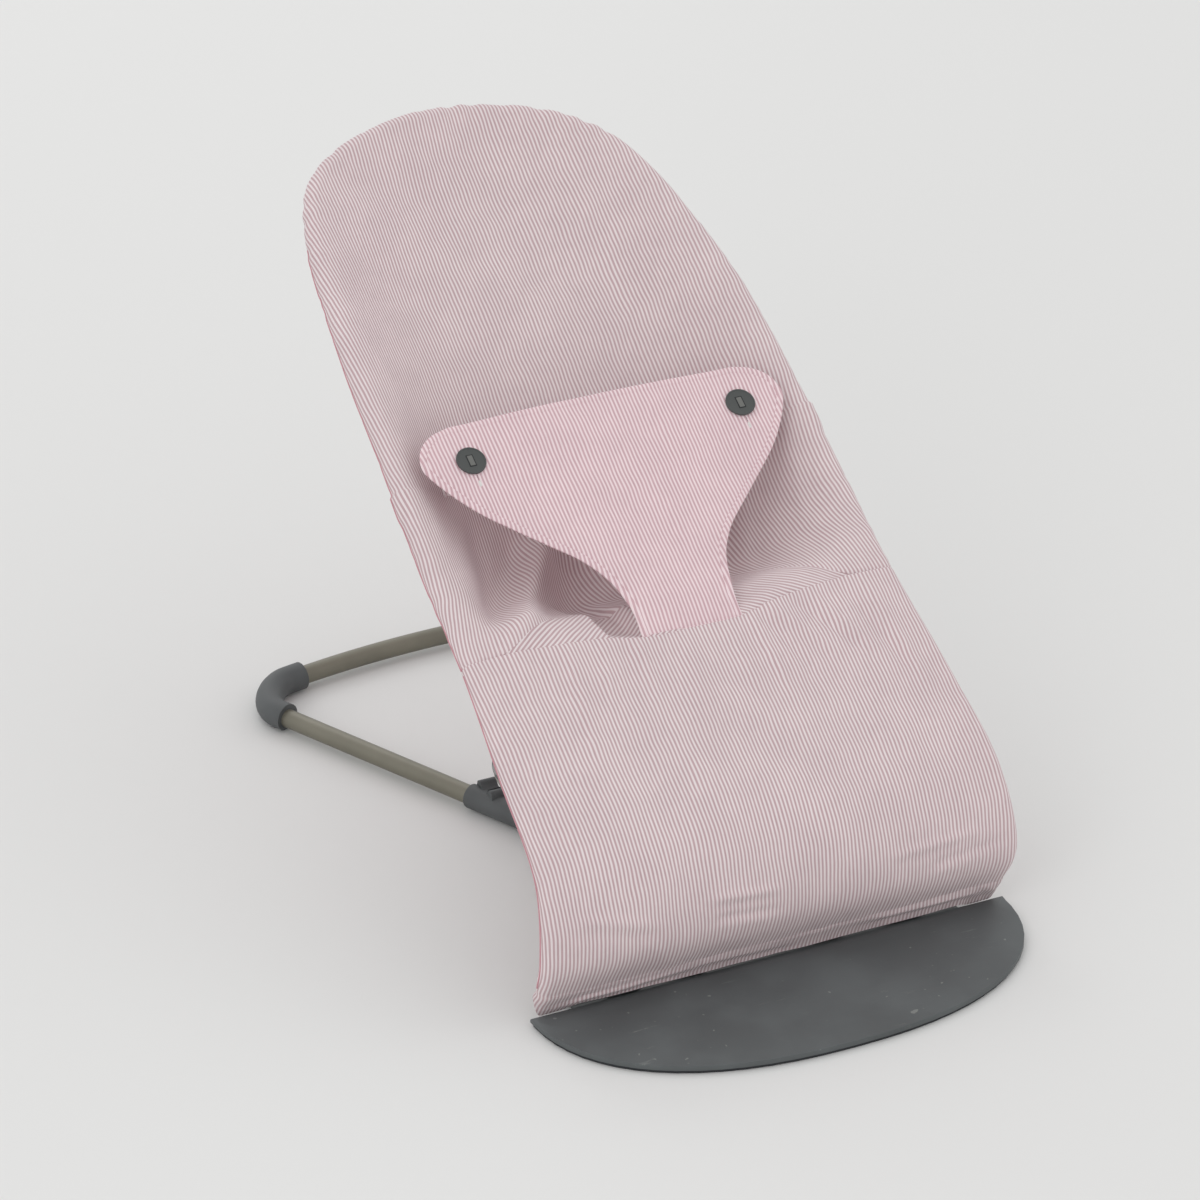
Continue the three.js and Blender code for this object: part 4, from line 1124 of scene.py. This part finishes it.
backCoverShape = {
    "columns": 208,                 # for each half of the head loop
    "raySteps": 72,
    "hemSteps": 22,
    "flat": (0.47, 0.56),
    "ripples": ((0.06, 0.0016, 4.2), (0.02, 0.00045, 9.6)),
    "headPower": 1.4,
    "rayPower": 0.9,
    "headFrom": (0.33, 0.45),       # where the hollow's walls give way to the flatter head
    "pucker": 0.0016,
    "puckerFade": 0.016,
    "puckerSizes": (0.0095, 0.026),
    "gather": (0.006, 0.0010),      # size and height of the gathers on the back of the hem
    "bulge": 1.2,
    "dart": (0.155, 0.122),         # place up the seat, inner end
    "pleat": (-0.069, -0.060, -0.042, -0.034, 0.014),   # left end to right end, depth
    "pleatFade": (0.030, 0.075),
    "folds": (
        (((-0.105, 0.133), (-0.111, 0.105), (-0.121, 0.074), (-0.138, 0.030)), 0.010, -0.0060),
        (((-0.044, 0.120), (-0.062, 0.098), (-0.083, 0.073), (-0.112, 0.036), (-0.138, 0.008)),
         0.0125, 0.0170),
        (((-0.026, 0.108), (-0.038, 0.080), (-0.056, 0.054)), 0.017, -0.0120),
        (((-0.150, 0.135), (-0.155, 0.040)), 0.007, 0.0018),
        (((0.150, 0.150), (0.135, 0.060)), 0.006, 0.0014),
        (((0.120, 0.130), (0.085, 0.050)), 0.007, 0.0022),
        (((0.095, 0.110), (0.060, 0.050)), 0.007, -0.0022),
        (((-0.150, 0.330), (-0.130, 0.220)), 0.006, 0.0012),
        (((0.155, 0.240), (0.150, 0.170)), 0.005, 0.0010),
        (((-0.105, 0.440), (-0.066, 0.436), (-0.035, 0.421), (0.013, 0.412), (0.046, 0.417),
          (0.085, 0.430)), 0.015, -0.0022)),
}


def headPucker(distance):
    # short gathers where the hem's thread draws the cloth in, strongest round the head
    along = alongOf(min(distance, loop.length - distance))
    strong = 0.3 + 0.7 * smooth(along, 0.3, 0.42)
    fineSize, coarseSize = backCoverShape["puckerSizes"]
    fine = noise.noise(Vector((distance / fineSize, 3.1, 0.4)))
    coarse = noise.noise(Vector((distance / coarseSize, 8.7, 1.3)))
    notch = min(fine * 1.3 + coarse * 0.8 + 0.15, 0.32)
    return strong * notch


def edgeStand(distance, way, along):
    # how far the hem's cloth stands off: the gathers, and the bulge under the dart
    below = backCoverShape["dart"][0] + 0.001 - along
    bulge = smooth(below, 0, 0.003) * (1 - smooth(below, 0.010, 0.038))
    pucker = headPucker(distance if way < 0 else loop.length - distance)
    return pucker + backCoverShape["bulge"] * bulge


def softLeast(a, b, width):
    return -width * math.log(math.exp(-a / width) + math.exp(-b / width))


def backRelief(x, along):
    place, inner = backCoverShape["dart"]
    dart = -0.0007 * math.exp(-((along - place) / 0.0012) ** 2)
    dart *= smooth(abs(x), inner, inner + 0.008)
    return rippled(foldHeight(backFolds, x, along) + dart - pleatDepth(x, along), x, along,
                   backCoverShape["ripples"])


backFolds = foldPaths(backCoverShape["folds"])


def pleatDepth(x, along):
    # the left half of the pocket's front is folded in beside the bib's foot
    left, leftEnd, rightEnd, right, depth = backCoverShape["pleat"]
    across = smooth(x, left, leftEnd) * (1 - smooth(x, rightEnd, right))
    return depth * across * (1 - smooth(along, *backCoverShape["pleatFade"]))


# how far the back's lower edge stands off the plain hollow, by distance from the middle
backEdge = []


def clothUvs(places, plain):
    # the places along one ray, stretched to the lengths on the surface without its folds
    uvs = [(0.0, places[0][1])]
    for q in range(1, len(places)):
        stepX = places[q][0] - places[q - 1][0]
        stepS = places[q][1] - places[q - 1][1]
        stretch = (plain[q] - plain[q - 1]).length / max(math.hypot(stepX, stepS), 1e-7)
        uvs.append((uvs[-1][0] + stepX * stretch, uvs[-1][1] + stepS * stretch))
    return uvs


def backColumn(distance, way, lowest):
    # one column of the left half: round the tube from the hem's end, then in to the hollow's spine
    shape, wrap = backCoverShape, coverShape["wrap"]
    centre = loop.at(distance)
    along = alongOf(distance)
    forward, outward = directionsAt(along)
    inward = loop.direction(distance).cross(outward).normalized()
    inX, inAlong = inward.x, inward.dot(forward)
    spine = softLeast(along, coverShape["spineTop"], 0.02)
    head = smooth(along, *shape["headFrom"])
    reach = max(math.hypot(centre.x, along - spine), 0.03)
    leave = math.pi / 2 - math.atan(head * shape["headPower"] * (wrap + depthAt(spine)) / reach)
    edgeX = centre.x + wrap * math.cos(leave) * inX
    edgeAlong = along + wrap * math.cos(leave) * inAlong
    pucker = edgeStand(distance, way, along)
    fade = max(1 - along / coverShape["crescentFade"], 0) ** 2
    ray, rayPlaces, plain = [], [], []
    for q in range(shape["raySteps"] + 1):
        p = (q / shape["raySteps"]) ** shape["rayPower"]
        x = edgeX * p
        shift = (crescentAt(x) - 0.0035) * fade
        place = mix(spine, edgeAlong, p) + shift
        rise = mix(wallRise(p), p ** shape["headPower"], head)
        lift = wrap * math.sin(leave) - (wrap * math.sin(leave) + depthAt(spine + shift)) * (1 - rise)
        plain.append(seatPoint(x, place, lift))
        if lowest:
            backEdge.append((abs(x), lift - hollowLift(x, place)))
        fromEdge = (1 - p) * reach
        lift += calmed(backRelief(way * -x, place), fromEdge)
        lift += shape["pucker"] * pucker * math.exp(-fromEdge / shape["puckerFade"])
        lift -= sewnGroove(along)
        ray.append(seatPoint(x, place, lift))
        rayPlaces.append((x, place))
    uvs = clothUvs(rayPlaces, plain)
    ray.reverse()
    uvs.reverse()
    hem, hemUvs = [], []
    hemEnd = 2 * math.pi + leave - math.radians(coverShape["hemGap"])
    gatherSize, gatherHeight = shape["gather"]
    for q in range(shape["hemSteps"]):
        angle = mix(hemEnd, leave, q / shape["hemSteps"])
        back = smooth(angle, math.radians(180), math.radians(250))
        gather = noise.noise(Vector((distance / gatherSize, way * 2.0, 5.5))) * gatherHeight * back
        gather *= 1 - smooth(angle, hemEnd - 0.9, hemEnd - 0.2)
        radius = wrap + gather + shape["pucker"] * pucker * (1 - 0.7 * back)
        radius -= sewnGroove(along)
        hem.append(centre + inward * radius * math.cos(angle) + outward * radius * math.sin(angle))
        arc = wrap * (angle - leave)
        hemUvs.append((uvs[0][0] - inX * arc, uvs[0][1] - inAlong * arc))
    points, places = hem + ray, hemUvs + uvs
    if way > 0:
        points = [Vector((-p.x, p.y, p.z)) for p in points]
        places = [(-a, b) for a, b in places]
    return points, places


def makeBackCover():
    shape = backCoverShape
    first = seamDistance + coverShape["seamGap"]
    columns = []
    for way in (-1, 1):
        half = [backColumn(mix(first, loop.length / 2, k / shape["columns"]), way, k == 0 and way < 0)
                for k in range(shape["columns"] + 1)]
        columns += half if way < 0 else list(reversed(half[:-1]))
    backEdge.sort()
    grid, uvGrid = ([[column[part][r] for column in columns] for r in range(len(columns[0][0]))]
                    for part in (0, 1))
    cover = gridPiece("back_cover", grid, uvGrid)
    declared = declareSheet(cover, grid)
    mergeDoubles(cover)
    faceAlong(cover, directionsAt(0.2)[1])
    thicken(cover, coverShape["thickness"])
    dress(cover, coverCotton, "back", ["pocket_cloth", "hammock", "edge_hem"])
    print("back cover made")


# the small turned panel between the leg panel and the pocket

gussetShape = {
    "acrossSteps": 208,
    "rows": 30,
    "tuck": 0.0025,
    "reach": 0.166,
    "thickness": 0.0009,
    "under": (0.0013, 0.0009),      # below the leg panel's face and the back's
    "puff": 0.0035,
    "turn": (0.574, 0.819),         # sine and cosine of the angle the cloth is cut at
    "folds": (
        (((0.050, -0.002), (0.112, 0.014)), 0.0045, 0.0014),
        (((0.060, 0.012), (0.090, 0.020)), 0.0045, -0.0012),
        (((-0.062, 0.004), (-0.118, 0.010)), 0.0050, 0.0022),
        (((-0.060, 0.016), (-0.100, 0.018)), 0.0045, -0.0016)),
}


gussetFolds = foldPaths(gussetShape["folds"])


def gussetLift(x, along, share):
    underLeg, underBack = gussetShape["under"]
    over = legLift(x, along) + legRelief(x, along) - underLeg
    fromEdge = halfWidthAt(along) - abs(x)
    under = hollowLift(x, along) + calmed(backRelief(x, along), fromEdge) - underBack
    under += between(backEdge, abs(x))
    puff = gussetShape["puff"] * math.sin(math.pi * share) * smooth(abs(x), 0.044, 0.075)
    puff *= smooth(fromEdge, 0.035, 0.065)
    folds = foldHeight(gussetFolds, x, along) * share
    return mix(over, under, smooth(share, 0.0, 0.45)) + puff + folds


def makeGusset():
    shape = gussetShape
    grid, uvGrid = [], []
    a, b = shape["turn"]
    for row in range(shape["rows"] + 1):
        share = row / shape["rows"]
        line, uvLine = [], []
        for column in range(shape["acrossSteps"] + 1):
            x = shape["reach"] * (2 * column / shape["acrossSteps"] - 1)
            low = legTopAt(x) - shape["tuck"]
            high = crescentAt(x) + shape["tuck"]
            along = mix(low, high, share)
            line.append(seatPoint(x, along, gussetLift(x, along, share)))
            uvLine.append((a * abs(x) + b * along, b * abs(x) - a * along))
        grid.append(line)
        uvGrid.append(uvLine)
    gusset = gridPiece("pocket_gusset", grid, uvGrid)
    declared = declareSheet(gusset, grid)
    faceAlong(gusset, directionsAt(0.0)[1])
    thicken(gusset, shape["thickness"])
    dress(gusset, coverCotton, "back", ["pocket_front"])
    print("pocket front made")


# the sewn seam along the outside of both edges

seamShape = {
    "radius": 0.0006,
    "steps": 150,
    "backStep": 0.0025,
    "low": 0.004,                   # above the bend at the foot
    "top": 0.385,
    "outside": 0.0001,              # over the cloth's face
    "turn": -12,                    # degrees round the tube
}


def makeEdgeSeams():
    shape = seamShape
    low = cornerSide - seamSide + shape["low"]
    outside = coverShape["wrap"] + shape["outside"]
    for word, way in sides:
        places = [mix(low, -0.001, k / shape["steps"]) for k in range(shape["steps"] + 1)]
        points = [seatPoint(way * (halfWidthAt(s) + outside), s, 0) for s in places]
        leg = tubeAlong(word + "_leg_seam", points, shape["radius"], 3)
        dress(leg, seamThread, None)
        tuple(seatPoint(0, -0.03, 0))
        tuple(seatPoint(0, -0.008, 0))
        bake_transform(leg)
        points, distance = [], seamDistance + coverShape["seamGap"]
        while alongOf(distance) < shape["top"]:
            along = alongOf(distance)
            outward = directionsAt(along)[1]
            inward = loop.direction(distance).cross(outward).normalized()
            turn = math.radians(shape["turn"]) * smooth(along, 0.0, 0.05)
            away = outward * math.sin(turn) - inward * math.cos(turn)
            stand = outside + backCoverShape["pucker"] * edgeStand(distance, way, along)
            point = loop.at(distance) + away * stand
            points.append(Vector((-point.x, point.y, point.z)) if way > 0 else point)
            distance += shape["backStep"]
        dress(tubeAlong(word + "_back_seam", points, shape["radius"], 3), seamThread, "back")
    print("edge seams made")


makeLegCover()
makeBackCover()
makeGusset()
makeEdgeSeams()


# the bib with its buttons

bibShape = {
    "outline": ((0, 0.0412), (0.02, 0.0405), (0.035, 0.0425), (0.055, 0.048), (0.076, 0.061),
                (0.096, 0.081), (0.116, 0.102), (0.14, 0.126), (0.166, 0.144), (0.18, 0.1495),
                (0.194, 0.145), (0.203, 0.134), (0.2075, 0.118)),
    "start": -0.0155,
    "lift": 0.0185,
    "arch": 0.0040,
    "endRise": 0.0022,
    "thickness": 0.0022,
    "sunk": 0.0026,                 # how far the foot lies under the leg panel's face
    "spacing": 0.0021,
    "centre": (0, 0.13),
    "hem": 0.005,
    "insets": (0, 0.0004, 0.0011, 0.0022, 0.0034, 0.0043, 0.0047, 0.005, 0.0053, 0.0058, 0.0072,
               0.0095),
    "innerRings": 46,
    "stitchCount": 260,
    "ripples": ((0.055, 0.0009, 3.4), (0.016, 0.0002, 6.6)),
    "folds": (
        (((-0.10, 0.150), (-0.06, 0.100)), 0.008, 0.0007),
        (((0.10, 0.150), (0.07, 0.090)), 0.008, 0.0007)),
}
buttonShape = {
    "across": 0.112,
    "along": 0.1762,
    "radius": 0.0115,
    "height": 0.0015,
    "rim": 0.0012,
    "slot": (0.0056, 0.0102),
    "bar": (0.0042, 0.0088),
    "shank": (0.0032, 0.004),       # radius and length
    "hole": (0.0112, 0.0165),       # the buttonhole's ends, below the button's middle
    "tack": (0.0004, 0.0048),
    "tabSteps": (24, 40),
    "tabWidth": 0.024,
    "tabThickness": 0.0012,
    "tabLevel": 0.0112,
    "tabEnd": 0.1265,
    "tabOver": 0.0012,              # over the back cover's face at the tab's outer end
}


bibFolds = foldPaths(bibShape["folds"])


def bibLevel(x):
    return (bibShape["lift"] - bibShape["arch"] * (x / buttonShape["across"]) ** 2
            + bibShape["endRise"] * smooth(abs(x), 0.09, 0.14))


def bibLift(x, along):
    level = bibLevel(x)
    foot = legLift(x, bibShape["start"] + along) - bibShape["sunk"]
    level = mix(foot, level, smooth(along, 0.0, 0.034))
    return rippled(level + foldHeight(bibFolds, x, along), x, along, bibShape["ripples"])


def bibPoint(x, along, rise=0.0):
    return seatPoint(x, bibShape["start"] + along, bibLift(x, along) + rise)


def bibBorder():
    # the outline as evenly spaced places, from the foot's right corner round to the left and back
    flank = smoothLine([Vector((half, along, 0)) for along, half in bibShape["outline"]], 14)
    other = [Vector((-p.x, p.y, 0)) for p in reversed(flank)]
    border = Line(flank + other + [flank[0]])
    count = int(border.length / bibShape["spacing"])
    return [border.at(border.length * k / count) for k in range(count)]


def insetRing(border, inset):
    halfAt = bibShape["outline"][:4]
    ring = []
    for i, place in enumerate(border):
        run = (border[(i + 1) % len(border)] - border[i - 1]).normalized()
        place = place + Vector((-run.y, run.x, 0)) * inset
        if place.y < 0.02:
            half = between(halfAt, max(place.y, inset)) - inset
            place = Vector((min(max(place.x, -half), half), max(place.y, inset), 0))
        ring.append(place)
    return ring


def stitches(name, places, normals, thread, body, length=0.0023, width=0.0006, height=0.00035):
    positions, faces = [], []
    for i in range(1, len(places) - 1):
        middle, normal, first = places[i], normals[i], len(positions)
        run = (places[i + 1] - places[i - 1]).normalized()
        across = normal.cross(run).normalized()
        positions += [middle - run * length / 2, middle + across * width / 2, middle + run * length / 2,
                      middle - across * width / 2, middle - run * length / 4 + normal * height,
                      middle + run * length / 4 + normal * height]
        faces += [tuple(first + n for n in face) for face in
                  ((0, 4, 1), (1, 4, 5), (1, 5, 2), (2, 5, 3), (3, 5, 4), (3, 4, 0), (0, 1, 2, 3))]
    piece = newPiece(name, positions, faces, smoothed=False)
    faceOutward(piece)
    dress(piece, thread, body)
    return piece


def stitchAlong(name, pointOf, count, thread, body, sink=0.0, **sizes):
    # pointOf gives the place and the surface's normal for a share along the seam
    found = [pointOf(k / (count - 1)) for k in range(count)]
    places, normals = [p + n * sink for p, n in found], [n for p, n in found]
    return stitches(name, places, normals, thread, body, **sizes)


def surfaceFrame(pointAt, x, along):
    # a place on a cloth surface with its normal
    step = 0.0008
    middle = pointAt(x, along)
    across = pointAt(x + step, along) - middle
    ahead = pointAt(x, along + step) - middle
    return middle, across.cross(ahead).normalized()


def makeBib():
    shape = bibShape
    border = bibBorder()
    centre = Vector((*shape["centre"], 0))
    rings = [(insetRing(border, inset), inset) for inset in shape["insets"]]
    last = rings[-1][0]
    for k in range(1, shape["innerRings"] + 1):
        share = k / shape["innerRings"]
        rings.append(([p.lerp(centre, share) for p in last], 1.0))
    grid, uvGrid = [], []
    for ring, inset in rings:
        groove = -0.0004 * math.exp(-((inset - shape["hem"]) / 0.0005) ** 2)
        edge = 0.0002 * (1 - smooth(inset, 0.0042, 0.0052)) - 0.0006 * (1 - smooth(inset, 0, 0.0014))
        grid.append([bibPoint(p.x, p.y, groove + edge) for p in ring])
        uvGrid.append([(p.x, p.y) for p in ring])
    bib = gridPiece("bib", grid, uvGrid, wrapAcross=True)
    mergeDoubles(bib)
    faceAlong(bib, directionsAt(0.1)[1])
    thicken(bib, shape["thickness"], 0)
    dress(bib, litBibCotton, "restraint", ["restraint_bib"])
    hemRing = insetRing(border, shape["hem"])
    seam = Line(hemRing + [hemRing[0]])
    count = shape["stitchCount"]
    places = [seam.at(seam.length * k / count) for k in range(count + 1)]
    found = [surfaceFrame(bibPoint, p.x, p.y) for p in places]
    stitches("bib_stitches", [p + n * (shape["thickness"] / 2 - 0.00045) for p, n in found],
             [n for p, n in found], coverThread, "restraint", width=0.0004, height=0.0002)
    print("bib made")


def boxPiece(name, size, level, rounding):
    bpy.ops.object.select_all(action="DESELECT")
    bpy.ops.mesh.primitive_cube_add(size=1, location=(0, 0, level - size[2] / 2))
    piece = bpy.context.object
    piece.name = name
    piece.scale = size
    bpy.ops.object.transform_apply(location=True, rotation=True, scale=True)
    softenEdges(piece, rounding, 40, 3)
    return piece


def buttonFrame(way):
    x = way * buttonShape["across"]
    middle, normal = surfaceFrame(lambda a, b: seatPoint(a, b, bibLevel(a)),
                                  x, bibShape["start"] + buttonShape["along"])
    forward = directionsAt(bibShape["start"] + buttonShape["along"])[0]
    normal = (normal + forward * 0.06 - sideways * way * 0.03).normalized()
    across = forward.cross(normal).normalized()
    forward = normal.cross(across)
    return Matrix.Translation(middle) @ Matrix((across, forward, normal)).transposed().to_4x4()


def makeButton(word, way):
    shape = buttonShape
    place = buttonFrame(way)
    base = bibShape["thickness"] / 2 + 0.0003
    top = base + shape["height"]
    disc = startPiece(word + "_dark_button", bpy.ops.mesh.primitive_cylinder_add, vertices=64,
                      radius=shape["radius"], depth=shape["height"],
                      location=(0, 0, base + shape["height"] / 2))
    endFaces(disc, Vector((0, 0, top)), up, 0.001)
    bpy.ops.mesh.inset(thickness=shape["rim"])
    bpy.ops.mesh.extrude_region_move(TRANSFORM_OT_translate={"value": (0, 0, -0.0004)})
    bpy.ops.mesh.inset(thickness=0.0042)
    bpy.ops.transform.translate(value=(0, 0, -0.0002))
    bpy.ops.object.mode_set(mode="OBJECT")
    endFaces(disc, Vector((0, 0, base)), -up, 0.001)
    bpy.ops.mesh.inset(thickness=shape["radius"] - shape["shank"][0])
    bpy.ops.mesh.extrude_region_move(TRANSFORM_OT_translate={"value": (0, 0, -shape["shank"][1])})
    bpy.ops.object.mode_set(mode="OBJECT")
    softenEdges(disc, 0.0004, 40, 3)
    # painted shade: a dark box sunk in the slot round the bar stands in for the shade inside the slot
    slot = boxPiece(word + "_button_slot_shade", (*shape["slot"], 0.0010), top - 0.00042, 0.0001)
    bar = boxPiece(word + "_button_bar", (*shape["bar"], 0.0012), top - 0.00015, 0.0004)
    for piece, finish in ((disc, buttonPlastic), (slot, rubberAndPaintedShade), (bar, barPlastic)):
        piece.data.transform(place)
        dress(piece, finish, "restraint", [word + "_button"] if piece is disc else ())
    slitTop, slitEnd = (shape["along"] - place for place in shape["hole"])
    x, face = way * shape["across"], bibShape["thickness"] / 2 - 0.0001
    # painted shade: short dark marks along the buttonhole's line stand in for the shade inside its slit
    stitchAlong(word + "_buttonhole_slit_shade", lambda t: surfaceFrame(bibPoint, x, mix(slitTop, slitEnd, t)), 5,
                rubberAndPaintedShade, "restraint", sink=face, length=0.0022, width=0.0007, height=0.0002)
    tackStart, tackEnd = (slitEnd - place for place in shape["tack"])
    positions, normals = [], []
    for k in range(9):
        point, normal = surfaceFrame(bibPoint, x, mix(tackStart, tackEnd, k / 8))
        for step in (-1, 0, 1):
            positions.append(point + normal * face + sideways * step * 0.0006)
            normals.append(normal)
    stitches(word + "_bartack", positions, normals, whiteThread, "restraint",
             length=0.0024, width=0.0007)


def makeTab(word, way):
    shape = buttonShape
    along = bibShape["start"] + shape["along"]
    inner, outer = shape["across"] - shape["tabWidth"] / 2, shape["tabEnd"]
    grid, uvGrid = [], []
    rows, columns = shape["tabSteps"]
    for row in range(rows + 1):
        line, uvLine = [], []
        for column in range(columns + 1):
            share = column / columns
            x = mix(inner, outer, share)
            place = along + shape["tabWidth"] * (row / rows - 0.5) * (1 - 0.3 * share) + 0.002 * share
            relief = calmed(backRelief(way * x, place), halfWidthAt(place) - x)
            low = hollowLift(x, place) + relief + shape["tabOver"]
            lift = mix(shape["tabLevel"], low, smooth(x, shape["across"], outer))
            line.append(seatPoint(way * x, place, lift))
            run = (line[-1] - line[-2]).length if column else 0
            uvLine.append((uvLine[-1][0] + run if column else inner, place))
        grid.append(line)
        uvGrid.append(uvLine)
    tab = gridPiece(word + "_tab", grid, uvGrid)
    declared = declareSheet(tab, grid)
    faceAlong(tab, directionsAt(along)[1])
    thicken(tab, shape["tabThickness"], 0)
    dress(tab, coverCotton, "back", [word + "_button_tab"])


makeBib()
for word, way in sides:
    makeButton(word, way)
    makeTab(word, way)
print("buttons and tabs made")
